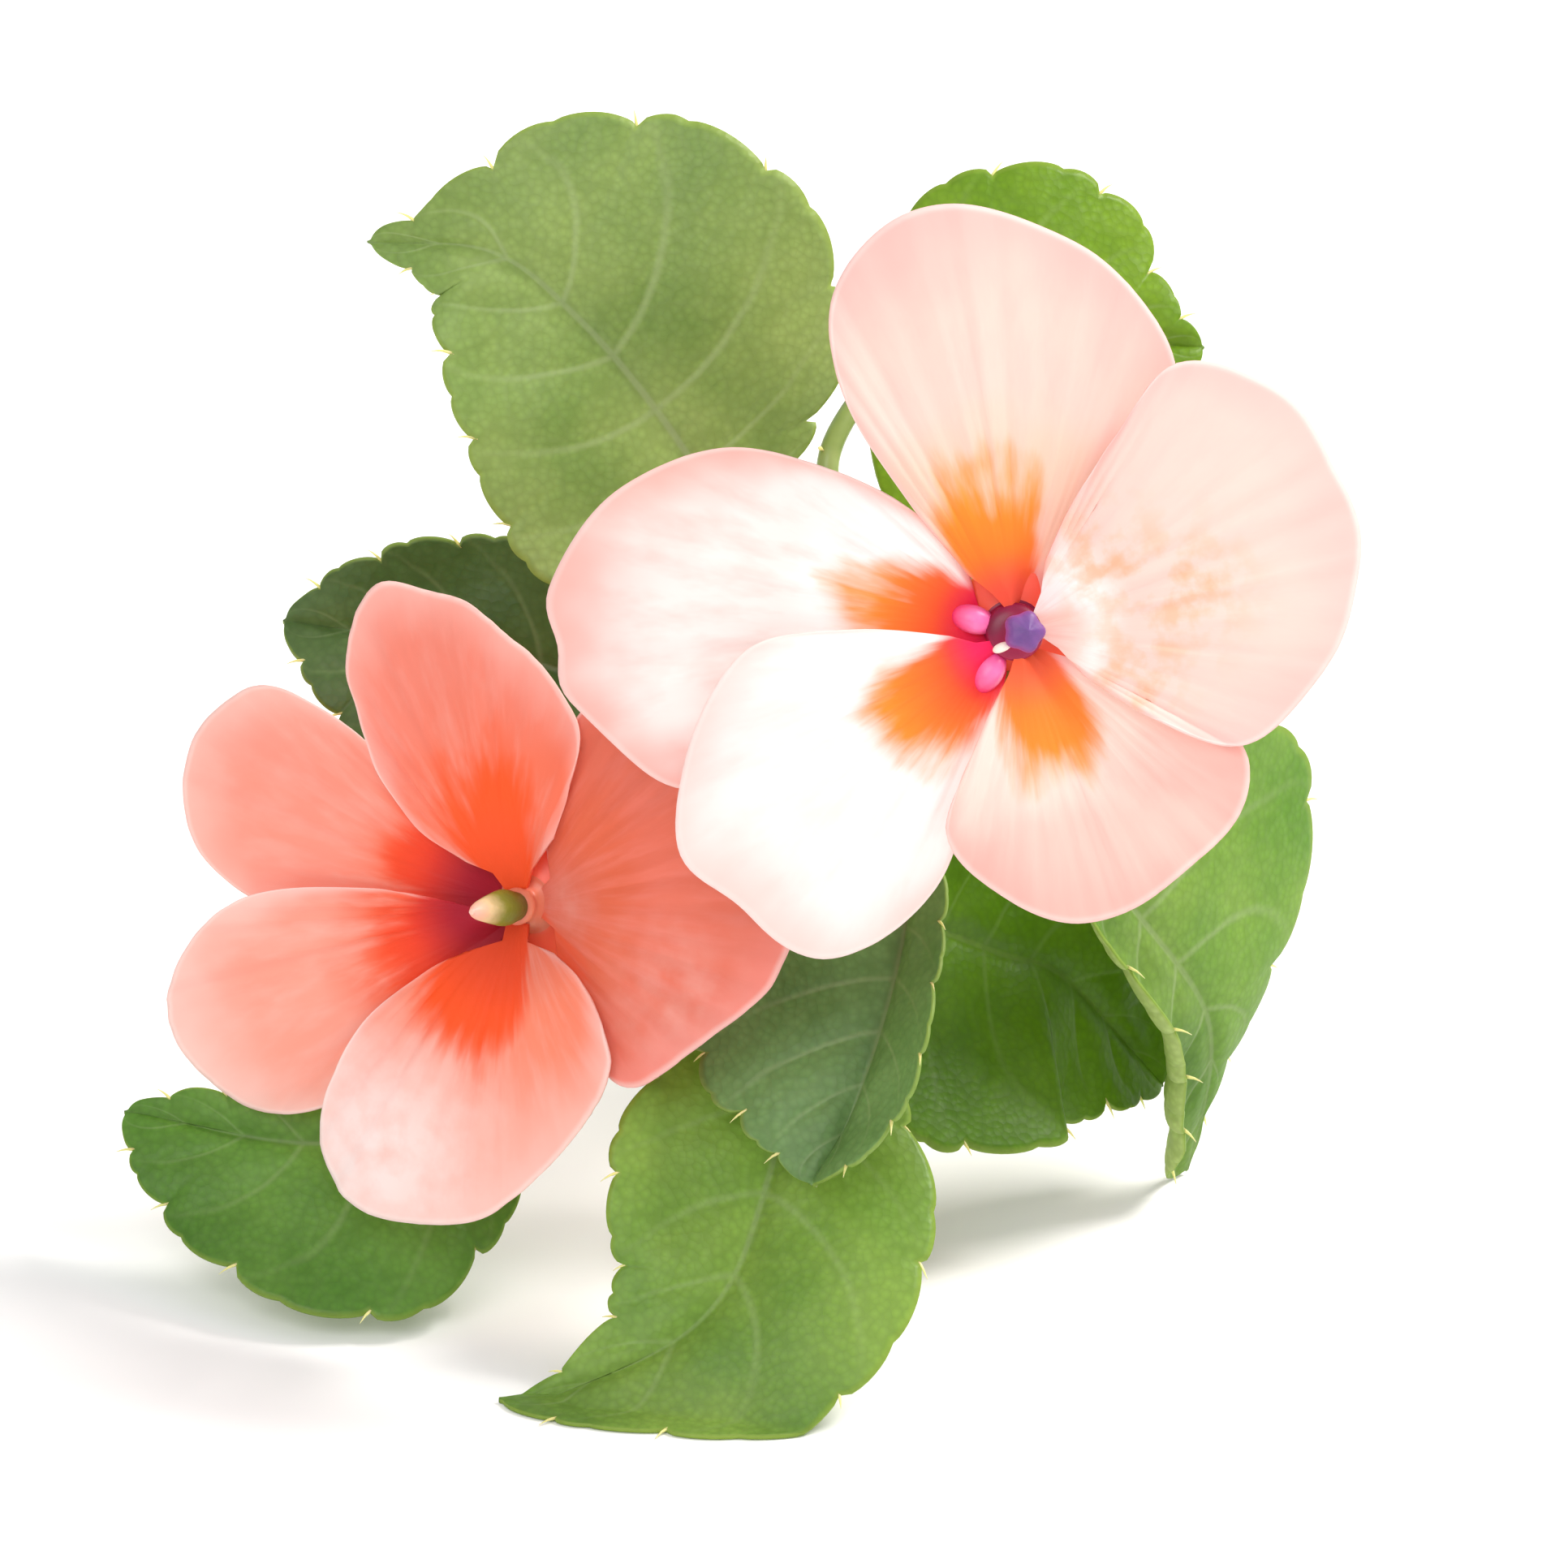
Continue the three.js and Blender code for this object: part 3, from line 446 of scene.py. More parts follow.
SALMON_FLOWER = dict(
    name="salmon",
    centre=(-21.8, -10, 23.1),
    face=(-0.505, -0.808, 0.304),
    pedicel=[(-1.3, -1.2, 28.3), (-9, -2, 28.8), (-16, -5.2, 27)],
    spur=[(0, -1.7, -3.2), (-0.6, -3.9, -4.8), (-4, -7.4, -8.6), (-7.4, -8.6, -12.4), (-9, -8, -16)],
    petals=[
        dict(
            name="standard", heading=16, layer=(-0.5, -0.5), bend=-1.4,
            claw_half_width=1.3,
            outline=[
                (0.9, 3.8), (1, 8), (3.5, 12.3), (9, 12.2), (13.4, 8.6), (15.5, 3.6), (14.9, -0.2),
                (12.8, -3.1), (8.6, -7.5), (5.6, -6.3), (3.2, -3.1),
            ],
            flare=dict(length=6, half_width=2.2, heading=-52, strength=0.5, red=0.2),
            blots=dict(
                spots=[(16, 2.4, 1.8), (-14, 10, 3.6)], tint="#FAD0C8",
                strength=0.42, grain=(0.2, 0.8),
            ),
            ground=("#E46C4A", "#E97860", "#F59488"),
        ),
        dict(
            name="upper", heading=110, layer=(1, 1), bend=-1.0,
            claw_half_width=1.1, claw_heading=106,
            outline=[
                (-3, 1.7), (-6.1, 3.1), (-9.5, 6.5), (-11.5, 11), (-10, 14.6), (-5.5, 14.6), (-1.6, 13),
                (2.1, 10), (2.3, 7), (1.7, 3.9),
            ],
            flare=dict(length=8, half_width=3.2, heading=116, red=0.1),
            ground=("#F67E60", "#F58E7A", "#FAB8AC"),
        ),
        dict(
            name="left", heading=170, layer=(-1, -1), bend=-1.8,
            outline=[
                (-3.4, -1.4), (-7.5, -2.5), (-13, -3.3), (-18.5, -1.5), (-20.5, 3), (-18, 7.5),
                (-12.5, 7.3), (-7.5, 4.9), (-3.2, 2.2),
            ],
            flare=dict(length=7.5, half_width=2.6, heading=166, strength=0.95),
            ground=("#F67858", "#F89C88", "#FBC4B8"),
        ),
        dict(
            name="lower_left", heading=212, layer=(-1, 1), bend=-1.4,
            claw_half_width=0.8, claw_heading=221,
            outline=[
                (-1.4, -3.4), (-4, -8), (-8, -12), (-13, -13.6), (-17.5, -11.5), (-18.5, -7.2),
                (-15, -2.8), (-8, -0.8), (-3.4, -0.5),
            ],
            flare=dict(length=7.5, half_width=2.8, heading=212, strength=0.95),
            ground=("#F67858", "#F9A894", "#FCD0C6"),
        ),
        dict(
            name="lower_right", heading=272, layer=(1, 1), bend=-1.0,
            claw_half_width=0.7, claw_heading=280,
            outline=[
                (2.7, -1.8), (4.8, -2.8), (6.6, -4.9), (7.2, -7.4), (5.6, -11), (1.2, -16.1), (-5.5, -16.9),
                (-8.5, -13.5), (-7, -8), (-4, -4.3), (-2.1, -2.8),
            ],
            flare=dict(length=7.7, half_width=3.1, heading=260, red=0.25),
            blots=dict(
                spots=[(250, 15, 6.2)], tint="#FFF4F2",
                strength=0.85, grain=(-0.3, 0.6),
            ),
            ground=("#F98C6C", "#FAA894", "#FBC2B6"),
        ),
    ],
    flare_tints=("#A8082E", "#EA3414", "#FF5E1E"),
    throat=(2.9, 6.1), mouth_radius=0.98,
)


# ---- Curves, frames and smooth values ----
def smoothstep(x, low, high):
    f = np.clip((x - low) / (high - low), 0, 1)
    return f * f * (3 - 2 * f)


def lerp(a, b, t):
    return a + (b - a) * t


def unit(v):
    return v / np.linalg.norm(v, axis=-1, keepdims=True)


def bearing(heading):
    """The unit step across a flower's face at a heading."""
    return np.array([math.cos(math.radians(heading)), math.sin(math.radians(heading))])


def profile(stations, values, t):
    """Smooth value at t of a quantity known at the given stations."""
    stations = np.asarray(stations, float)
    values = np.asarray(values, float)
    last = len(stations) - 1
    k = np.clip(np.searchsorted(stations, t, side="left") - 1, 0, last - 1)

    def slope(i):
        a = np.maximum(i - 1, 0)
        b = np.minimum(i + 1, last)
        return (values[b] - values[a]) / (stations[b] - stations[a])

    span = stations[k + 1] - stations[k]
    f = (t - stations[k]) / span
    rise = f * f * (3 - 2 * f)
    ends = f * (1 - f) ** 2 * span * slope(k) + f * f * (f - 1) * span * slope(k + 1)
    return values[k] * (1 - rise) + values[k + 1] * rise + ends


class Curve:
    """A smooth line through points, with its places given by arc length from 0 to 1."""

    def __init__(self, points, steps=600):
        inner = np.array(points, float)
        self.points = np.vstack([2 * inner[0] - inner[1], inner, 2 * inner[-1] - inner[-2]])
        self.spans = len(inner) - 1
        self.u = np.linspace(0, 1, steps + 1)
        walked = np.linalg.norm(np.diff(self.raw(self.u), axis=0), axis=1)
        self.walk = np.concatenate([[0], np.cumsum(walked)])
        self.length = self.walk[-1]

    def raw(self, u):
        p = np.asarray(u) * self.spans
        k = np.minimum(p.astype(int), self.spans - 1)
        f = (p - k)[..., None]
        a, b, c, d = (self.points[k + i] for i in range(4))
        squares = (2 * a - 5 * b + 4 * c - d) * f * f
        cubes = (3 * b - a - 3 * c + d) * f ** 3
        return 0.5 * (2 * b + (c - a) * f + squares + cubes)

    def at(self, t):
        return self.raw(np.interp(np.asarray(t) * self.length, self.walk, self.u))

    def along(self, t, reach=1e-3):
        t = np.asarray(t, float)
        return unit(self.at(np.minimum(t + reach, 1)) - self.at(np.maximum(t - reach, 0)))


def waves(x, count, slowest, fastest):
    """A soft random line between about -1 and 1, the sum of a few sine waves."""
    rates = rng.uniform(slowest, fastest, count)
    starts = rng.uniform(0, 2 * math.pi, count)
    total = sum(np.sin(rate * x + start) for rate, start in zip(rates, starts))
    return total / math.sqrt(count)


def run_along(t, rate=1):
    """The field that a rod's finish reads: how far along it each ring is."""
    return np.stack([t * rate, t * 0, t * 0], -1)


def rounded(from_end, length, least):
    """The share of its radius that a rod keeps near an end that is rounded off."""
    return np.sqrt(np.clip(from_end / length, least, 1))


def bean(t, least):
    """The share of its radius that a body rounded at both ends has at t."""
    return np.sqrt(np.maximum(1 - (2 * t - 1) ** 2, least))


# ---- Surfaces ----
class Piece:
    """Gathers the surfaces of one piece, each with its finish and the fields its finish reads."""

    def __init__(self, name):
        self.name = name
        self.parts = []

    def add(self, points, faces, finishes, **fields):
        self.parts.append((np.asarray(points, float).reshape(-1, 3), faces, finishes, fields))

    def field(self, key):
        """One field over all the surfaces, nought where a surface has none."""
        blocks = [np.asarray(fields[key], float).reshape(len(points), -1) if key in fields else None
                  for points, _, _, fields in self.parts]
        width = max(block.shape[1] for block in blocks if block is not None)
        return np.concatenate([np.zeros((len(part[0]), width)) if block is None else block
                               for part, block in zip(self.parts, blocks)])

    def make(self, slot, node, *finishes):
        points = np.concatenate([part[0] for part in self.parts])
        points[:, 2] = np.maximum(points[:, 2], 0)
        faces, kinds, start = [], [], 0
        for part in self.parts:
            faces += [[corner + start for corner in face] for face in part[1]]
            kinds += part[2]
            start += len(part[0])
        mesh = bpy.data.meshes.new(self.name)
        mesh.from_pydata(((points - BOX_MIDDLE) * METRES).tolist(), [], faces)
        mesh.polygons.foreach_set("material_index", kinds)
        mesh.polygons.foreach_set("use_smooth", [True] * len(faces))
        for key in sorted({key for part in self.parts for key in part[3]}):
            values = self.field(key)
            kind, held = ("FLOAT_VECTOR", "vector") if values.shape[1] == 3 else ("FLOAT", "value")
            attribute = mesh.attributes.new(key, kind, "POINT")
            attribute.data.foreach_set(held, values.ravel().astype(np.float32))
        for finish in finishes:
            mesh.materials.append(finish)
        mesh.update()
        obj = bpy.data.objects.new(self.name, mesh)
        bpy.context.scene.collection.objects.link(obj)
        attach(obj, "root")
        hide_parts(node)
        return obj


def grid_normals(grid):
    """Square to a grid of points whose rows run up and whose columns run from left to right."""
    up = np.empty_like(grid)
    right = np.empty_like(grid)
    up[1:-1], up[0], up[-1] = grid[2:] - grid[:-2], grid[1] - grid[0], grid[-1] - grid[-2]
    right[:, 1:-1] = grid[:, 2:] - grid[:, :-2]
    right[:, 0], right[:, -1] = grid[:, 1] - grid[:, 0], grid[:, -1] - grid[:, -2]
    return unit(np.cross(right, up))


def add_sheet(piece, grid, over, under, finishes, **fields):
    """A thin closed blade round a grid, with its upper and lower face off it by over and under.
    A field has one value for each point of the grid, or broadcasts to that, or is a vector field."""
    rows, columns = grid.shape[:2]
    normals = grid_normals(grid)
    upper = grid + normals * np.broadcast_to(over, (rows, columns))[..., None]
    lower = grid - normals * np.broadcast_to(under, (rows, columns))[..., None]
    number = np.arange(rows * columns).reshape(rows, columns)
    a, b, c, d = number[:-1, :-1], number[:-1, 1:], number[1:, 1:], number[1:, :-1]
    tops = np.stack([a, b, c, d], -1).reshape(-1, 4)
    below = np.stack([a, d, c, b], -1).reshape(-1, 4) + rows * columns
    rim = np.concatenate([number[0, :-1], number[:-1, -1], number[-1, :0:-1], number[:0:-1, 0]])
    after = np.roll(rim, -1)
    sides = np.stack([rim, rim + rows * columns, after + rows * columns, after], -1)
    faces = np.concatenate([tops, below, sides]).tolist()
    kinds = [finishes[0]] * len(tops) + [finishes[1]] * len(below) + [finishes[0]] * len(sides)
    both = {}
    for key, value in fields.items():
        shape = grid.shape if np.ndim(value) == 3 else (rows, columns)
        flat = np.broadcast_to(value, shape).reshape(rows * columns, -1)
        both[key] = np.concatenate([flat, flat])
    piece.add(np.concatenate([upper.reshape(-1, 3), lower.reshape(-1, 3)]), faces, kinds, **both)


def add_rod(piece, curve, radii, sides, finish, lobes=None, at=None, **fields):
    """A closed round body along a curve, with a radius for each of its rings."""
    steps = len(radii)
    t = np.linspace(0, 1, steps) if at is None else at
    middle = curve.at(t)
    along = curve.along(t)
    across = np.empty_like(along)
    start = np.eye(3)[np.argmin(np.abs(along[0]))]
    for i in range(steps):
        start = unit(start - (start @ along[i]) * along[i])
        across[i] = start
    over = np.cross(along, across)
    angle = np.linspace(0, 2 * math.pi, sides, endpoint=False)
    swell = 1 if lobes is None else lobes(t[:, None], angle)
    rings = np.asarray(radii)[:, None] * swell * np.ones((steps, sides))
    points = (middle[:, None] + across[:, None] * (rings * np.cos(angle))[..., None]
              + over[:, None] * (rings * np.sin(angle))[..., None])
    number = np.arange(steps * sides).reshape(steps, sides)
    beside = np.roll(number, -1, axis=1)
    quads = np.stack([number[:-1], beside[:-1], beside[1:], number[1:]], -1).reshape(-1, 4)
    faces = quads.tolist() + [number[0, ::-1].tolist(), number[-1].tolist()]
    spread = {key: np.repeat(value, sides, axis=0) for key, value in fields.items()}
    finish_of_ring = np.broadcast_to(finish, steps)
    kinds = np.repeat(finish_of_ring[1:], sides).tolist()
    kinds += [int(finish_of_ring[0]), int(finish_of_ring[-1])]
    piece.add(points, faces, kinds, **spread)


def add_bristle(piece, base, tip):
    """A fine tapered hair with a slight bow."""
    bow = lerp(base, tip, BRISTLE_BOW_PLACE) + (0, 0, BRISTLE_BOW * math.dist(base, tip))
    add_rod(piece, Curve([base, bow, tip], steps=40), BRISTLE_RADIUS * BRISTLE_TAPER, 6, BRISTLE)


# ---- Materials ----
def linear(hex_colour):
    channels = [int(hex_colour[i:i + 2], 16) / 255 for i in (1, 3, 5)]
    return (*(c / 12.92 if c <= 0.04045 else ((c + 0.055) / 1.055) ** 2.4 for c in channels), 1.0)


def repeats(size):
    """The scale of a pattern whose parts are this many millimetres wide."""
    return 1 / (size * METRES)


def add(tree, kind, inputs=(), out=0, stops=(), **settings):
    """Adds one node with its settings, sets or links its inputs, by socket or in their order, and
    gives back the output asked for. A range has its inputs in the order value, low, high, then what
    low and high turn into. A mix has its share at socket 0 and its two colours at 6 and 7."""
    node = tree.nodes.new("ShaderNode" + kind)
    for key, value in settings.items():
        setattr(node, key, value)
    for socket, value in inputs.items() if isinstance(inputs, dict) else enumerate(inputs):
        if isinstance(value, bpy.types.NodeSocket):
            tree.links.new(value, node.inputs[socket])
        else:
            node.inputs[socket].default_value = value
    for i, (place, colour) in enumerate(stops):
        stop = node.color_ramp.elements[i] if i < 2 else node.color_ramp.elements.new(place)
        stop.position = place
        stop.color = colour
    return node.outputs[out] if node.outputs else None


def new_material(name):
    material = bpy.data.materials.new(name)
    material.use_nodes = True
    material.node_tree.nodes.clear()
    return material, material.node_tree


def finish_surface(tree, colour, through, share, roughness, specular, bump):
    """Ends a thin, soft surface: what it reflects, mixed with the light that comes through it."""
    front = add(tree, "BsdfPrincipled", {
        "Base Color": colour, "Roughness": roughness, "IOR": 1.45, "Specular IOR Level": specular,
        "Normal": bump,
    })
    back = add(tree, "BsdfTranslucent", {"Color": through, "Normal": bump})
    add(tree, "OutputMaterial", {"Surface": add(tree, "MixShader", [share, front, back])})


def finish_flesh(tree, colour, roughness, ior, bump, weight, radius, depth):
    """Ends a juicy, half-transparent body, which light goes a little way into."""
    front = add(tree, "BsdfPrincipled", {
        "Base Color": colour, "Roughness": roughness, "IOR": ior, "Normal": bump,
        "Subsurface Weight": weight, "Subsurface Radius": radius, "Subsurface Scale": depth,
    })
    add(tree, "OutputMaterial", {"Surface": front})


def leaf_material(name, tints, veins, boldness, lower=False):
    """Living leaf of a busy lizzie: a soft satin green, paler along its veins, that lets a warm
    yellow green through. The upper face is stippled with tiny cells, and the lower is duller. Each
    half of the blade is painted a little lighter or darker, as painted light and shade across its fold."""
    material, tree = new_material(name)
    where = add(tree, "TexCoord", out="Object")
    dark, light, through = (linear(tint) for tint in tints)
    place = add(tree, "Attribute", out="Vector", attribute_name="blade")
    half_shade = add(tree, "Attribute", out="Fac", attribute_name="half_shade")
    tipward = add(tree, "Attribute", out="Fac", attribute_name="tipward")
    vein_place, off_midrib, outward = add(tree, "SeparateXYZ", [place]).node.outputs

    patches = add(tree, "TexNoise", {"Vector": where, "Scale": repeats(LEAF_PATCH), "Detail": 3})
    tone = add(tree, "MapRange", [patches, 0.35, 0.68])
    blade = add(tree, "Mix", {0: tone, 6: dark, 7: light}, 2, data_type="RGBA")
    cells = add(tree, "TexVoronoi", {"Vector": where, "Scale": repeats(LEAF_CELL)})
    stipple = add(tree, "MapRange", [cells, 0.1, 0.7, 1.1, 0.86])
    # Painted light and shade: each half of the blade is painted lighter or darker, on top of the stippled
    # cells
    stipple_and_painted_shade = add(tree, "Math", [stipple, half_shade], operation="MULTIPLY")
    colour = add(tree, "VectorMath", {0: blade, 3: stipple_and_painted_shade}, operation="SCALE")

    # A side vein runs wherever the blade's bent place among them is near a whole number
    wander = add(tree, "TexNoise", {"Vector": where, "Scale": repeats(VEIN_WANDER)})
    bent = add(tree, "Math", [wander, VEIN_BEND, vein_place], operation="MULTIPLY_ADD")
    nearest = add(tree, "Math", [bent, 0.5], operation="PINGPONG")
    side_vein = add(tree, "MapRange", [nearest, 0, VEIN_HALF_WIDTH, 1 if lower else 0.75, 0],
                    interpolation_type="SMOOTHSTEP")
    to_margin = add(tree, "MapRange", [outward, 0.35, 0.95, 1, 0.25])
    side_faded = add(tree, "Math", [side_vein, to_margin], operation="MULTIPLY")
    midrib = add(tree, "MapRange", [off_midrib, *MIDRIB_EDGE, 1, 0], interpolation_type="SMOOTHSTEP")
    to_tip = add(tree, "MapRange", [tipward, 0, 1, 1, 0.35])
    midrib_faded = add(tree, "Math", [midrib, to_tip], operation="MULTIPLY")
    net = add(tree, "TexVoronoi", {"Vector": where, "Scale": repeats(LEAF_NET)},
              feature="DISTANCE_TO_EDGE")
    net_line = add(tree, "MapRange", [net, *NET_EDGE, NET_BOLDNESS, 0])
    main = add(tree, "Math", [side_faded, midrib_faded], operation="MAXIMUM")
    pale = add(tree, "Math", [main, net_line], operation="MAXIMUM")
    strength = add(tree, "Math", [pale, boldness], operation="MULTIPLY")
    margin = add(tree, "MapRange", [outward, *LEAF_MARGIN, 0, 0.6])
    for share, tint in ((strength, veins), (margin, LEAF_MARGIN_TINT)):
        colour = add(tree, "Mix", {0: share, 6: colour, 7: linear(tint)}, 2, data_type="RGBA")

    bump = add(tree, "Bump", {"Strength": 0.3, "Distance": FINE_RELIEF, "Height": cells}, invert=lower)
    least, most, specular = (0.5, 0.7, 0.3) if lower else (0.36, 0.52, 0.45)
    roughness = add(tree, "MapRange", [patches, 0, 1, least, most])
    finish_surface(tree, colour, through, LEAF_SHEER, roughness, specular, bump)
    return material


def petal_material(name, flower, petal, back=False):
    """Fresh petal of a busy lizzie: thin, matt and slightly crystalline, with fine furrows that fan
    out of the throat. A ragged flare of orange or red fades along them into the pale ground."""
    material, tree = new_material(name)
    where = add(tree, "TexCoord", out="Object")
    near, middle, margin = (linear(tint) for tint in petal["ground"])
    throat, inner, outer = (linear(tint) for tint in flower["flare_tints"])
    throat_full, throat_end = flower["throat"]
    strength = petal["flare"].get("strength", 1) * (BACK_FLARE if back else 1)
    red = petal["flare"].get("red", 1)
    fan = add(tree, "Attribute", out="Vector", attribute_name="fan")
    flare = add(tree, "Attribute", out="Fac", attribute_name="flare")
    off_edge = add(tree, "Attribute", out="Fac", attribute_name="off_edge")
    ground = add(tree, "Attribute", out="Vector", attribute_name="ground")
    spread, rim, distance = add(tree, "SeparateXYZ", [ground]).node.outputs
    streaks = add(tree, "TexNoise", {"Vector": fan, "Scale": 1, "Detail": 3, "Roughness": 0.6})
    clouds = add(tree, "TexNoise", {"Vector": where, "Scale": repeats(PETAL_CLOUD), "Detail": 2})

    # The ground: its middle tint, then its margin tint at the edge and along the furrows
    uneven = add(tree, "Math", [clouds, 0.55, spread], operation="MULTIPLY_ADD")
    field = add(tree, "MapRange", [uneven, 0.42, 0.95], interpolation_type="SMOOTHSTEP")
    ragged_rim = add(tree, "Math", [clouds, 0.5, rim], operation="MULTIPLY_ADD")
    border = add(tree, "MapRange", [ragged_rim, 0.75, 1.35], interpolation_type="SMOOTHSTEP")
    furrow = add(tree, "MapRange", [streaks, 0.45, 0.7, 0, 0.3])
    layers = [(field, middle), (border, margin), (furrow, margin)]
    if "blots" in petal:
        blots = petal["blots"]
        spots = add(tree, "Attribute", out="Fac", attribute_name="blots")
        mottle = add(tree, "TexNoise", {"Vector": where, "Scale": repeats(PETAL_MOTTLE), "Detail": 4})
        speckle = add(tree, "MapRange", [mottle, *blots["grain"], 0, blots["strength"]])
        stain = add(tree, "Math", [speckle, spots], operation="MULTIPLY")
        layers.append((stain, linear(blots["tint"])))

    # The flare, redder near the throat, then the throat itself and the thin pale edge
    clouded = add(tree, "Math", [clouds, FLARE_CLOUDS, flare], operation="MULTIPLY_ADD")
    feathered = add(tree, "Math", [streaks, FLARE_STREAKS, clouded], operation="MULTIPLY_ADD")
    mask = add(tree, "MapRange", [feathered, *FLARE_FADE, strength, 0],
               interpolation_type="SMOOTHSTEP")
    glow_start, glow_end = (throat_end * share for share in FLARE_GLOW)
    glow = add(tree, "MapRange", [distance, glow_start, glow_end, 1 - red, 1])
    flame = add(tree, "Mix", {0: glow, 6: inner, 7: outer}, 2, data_type="RGBA")
    deep = add(tree, "MapRange", [distance, throat_full, throat_end, strength * red, 0],
               interpolation_type="SMOOTHSTEP")
    edge_line = add(tree, "MapRange", [off_edge, *PALE_EDGE, PALE_EDGE_BOLDNESS, 0],
                    interpolation_type="SMOOTHSTEP")
    colour = near
    for share, tint in (*layers, (mask, flame), (deep, throat), (edge_line, linear(PETAL_EDGE_TINT))):
        colour = add(tree, "Mix", {0: share, 6: colour, 7: tint}, 2, data_type="RGBA")

    bump = add(tree, "Bump", {"Strength": 0.3, "Distance": FINE_RELIEF, "Height": streaks})
    through = add(tree, "Mix", {0: 0.35, 6: colour, 7: linear("#FFFFFF")}, 2, data_type="RGBA")
    finish_surface(tree, colour, through, PETAL_SHEER, 0.55, 0.25, bump)
    return material


def stem_material(name, green, flush, deep):
    """Watery, half-transparent stem: soft flesh under a smooth skin, faintly banded along its
    length and flushed darker in patches."""
    material, tree = new_material(name)
    where = add(tree, "TexCoord", out="Object")
    run = add(tree, "Attribute", out="Vector", attribute_name="run")
    patches = add(tree, "TexNoise", {"Vector": where, "Scale": repeats(STEM_PATCH), "Detail": 4})
    bands = add(tree, "TexNoise", {"Vector": run, "Scale": 1, "Detail": 2})
    blush = add(tree, "MapRange", [patches, 0.42, 0.7])
    band = add(tree, "MapRange", [bands, 0.5, 0.66, 0, 0.5])
    colour = linear(green)
    for share, tint in ((blush, flush), (band, deep)):
        colour = add(tree, "Mix", {0: share, 6: colour, 7: linear(tint)}, 2, data_type="RGBA")
    bump = add(tree, "Bump", {"Strength": 0.4, "Distance": BAND_RELIEF, "Height": bands})
    finish_flesh(tree, colour, 0.33, 1.4, bump, weight=0.35, radius=(0.6, 1.0, 0.3), depth=0.001)
    return material


def ramp_material(name, stops, roughness, weight):
    """Smooth living flesh that changes colour along its length, such as an anther cap or ovary."""
    material, tree = new_material(name)
    where = add(tree, "TexCoord", out="Object")
    run = add(tree, "Attribute", out="Vector", attribute_name="run")
    along = add(tree, "SeparateXYZ", [run])
    speck = add(tree, "TexNoise", {"Vector": where, "Scale": repeats(FLESH_SPECK), "Detail": 2})
    uneven = add(tree, "Math", [speck, 0.12, along], operation="MULTIPLY_ADD")
    colour = add(tree, "ValToRGB", [uneven], stops=[(place, linear(tint)) for place, tint in stops])
    bump = add(tree, "Bump", {"Strength": 0.3, "Distance": FINE_RELIEF, "Height": speck})
    finish_flesh(tree, colour, roughness, 1.5, bump, weight=weight, radius=(1.0, 0.6, 0.4), depth=0.0008)
    return material


def floor_material():
    """Matt white paper sweep: even and without a sheen. Its own places go from 0 to 1 across it."""
    material, tree = new_material("white_paper_floor")
    flecks = add(tree, "TexNoise", {"Scale": 2 * FLOOR_HALF * repeats(PAPER_FLECK), "Detail": 2})
    paper = add(tree, "Mix", {0: flecks, 6: linear("#F6F5F5"), 7: linear("#FBFBFA")}, 2,
                data_type="RGBA")
    front = add(tree, "BsdfPrincipled", {"Base Color": paper, "Roughness": 0.9})
    add(tree, "OutputMaterial", {"Surface": front})
    return material


# ---- Leaves ----
def toothed_reach(half, midrib, t):
    """How far a half of the blade reaches, out to its rounded teeth, at place t of the midrib."""
    widths = [BASE_HALF_WIDTH, *half["reach"], TIP_HALF_WIDTH]

    def width(place):
        return profile(REACH_STATIONS, widths, np.clip(place, 0, 1))

    rise = width(t + SLANT_STEP) - width(t - SLANT_STEP)
    slant = rise / (2 * SLANT_STEP * midrib.length)
    full = width(t)
    place = ((t * TEETH) % 1) ** TOOTH_LEAN
    tooth = np.sin(math.pi * place) ** TOOTH_ROUNDNESS
    half_tooth = np.sin(math.pi * ((place + 0.5) % 1)) ** TOOTH_ROUNDNESS
    notch = TOOTH_DEPTH * np.minimum(np.hypot(1, slant), MOST_SLANT) * (1 - tooth)
    notch = notch + SECOND_NOTCH_DEPTH * (1 - half_tooth) * smoothstep(full, *SECOND_NOTCH_WIDTHS)
    notch = notch * (1 - TIP_TEETH_LOSS * smoothstep(t, *TIP_TEETH_PLACES))
    return full - np.minimum(notch, DEEPEST_NOTCH * full)


def section(half, reach, t, s):
    """How far out and how high the blade is at share s of its reach."""
    start = np.radians(lerp(*np.broadcast_to(half["fold"], 2), t))
    turn = np.radians(half["roll"]) * np.minimum(1, reach / CALM_REACH)
    sideways = height = 0
    for k in range(SECTION_STEPS):
        angle = start + turn * ((k + 0.5) * s / SECTION_STEPS) ** half.get("curl", 1)
        sideways = sideways + reach * s / SECTION_STEPS * np.cos(angle)
        height = height + reach * s / SECTION_STEPS * np.sin(angle)
    return sideways, height


def blade_frame(leaf, midrib, t):
    """Which way the midrib runs, the blade faces and its right half lies, at places t."""
    along = midrib.along(t)
    out = lerp(*np.array(leaf["face"], float), t[..., None])
    out = unit(out - (out * along).sum(-1, keepdims=True) * along)
    return along, out, np.cross(along, out)


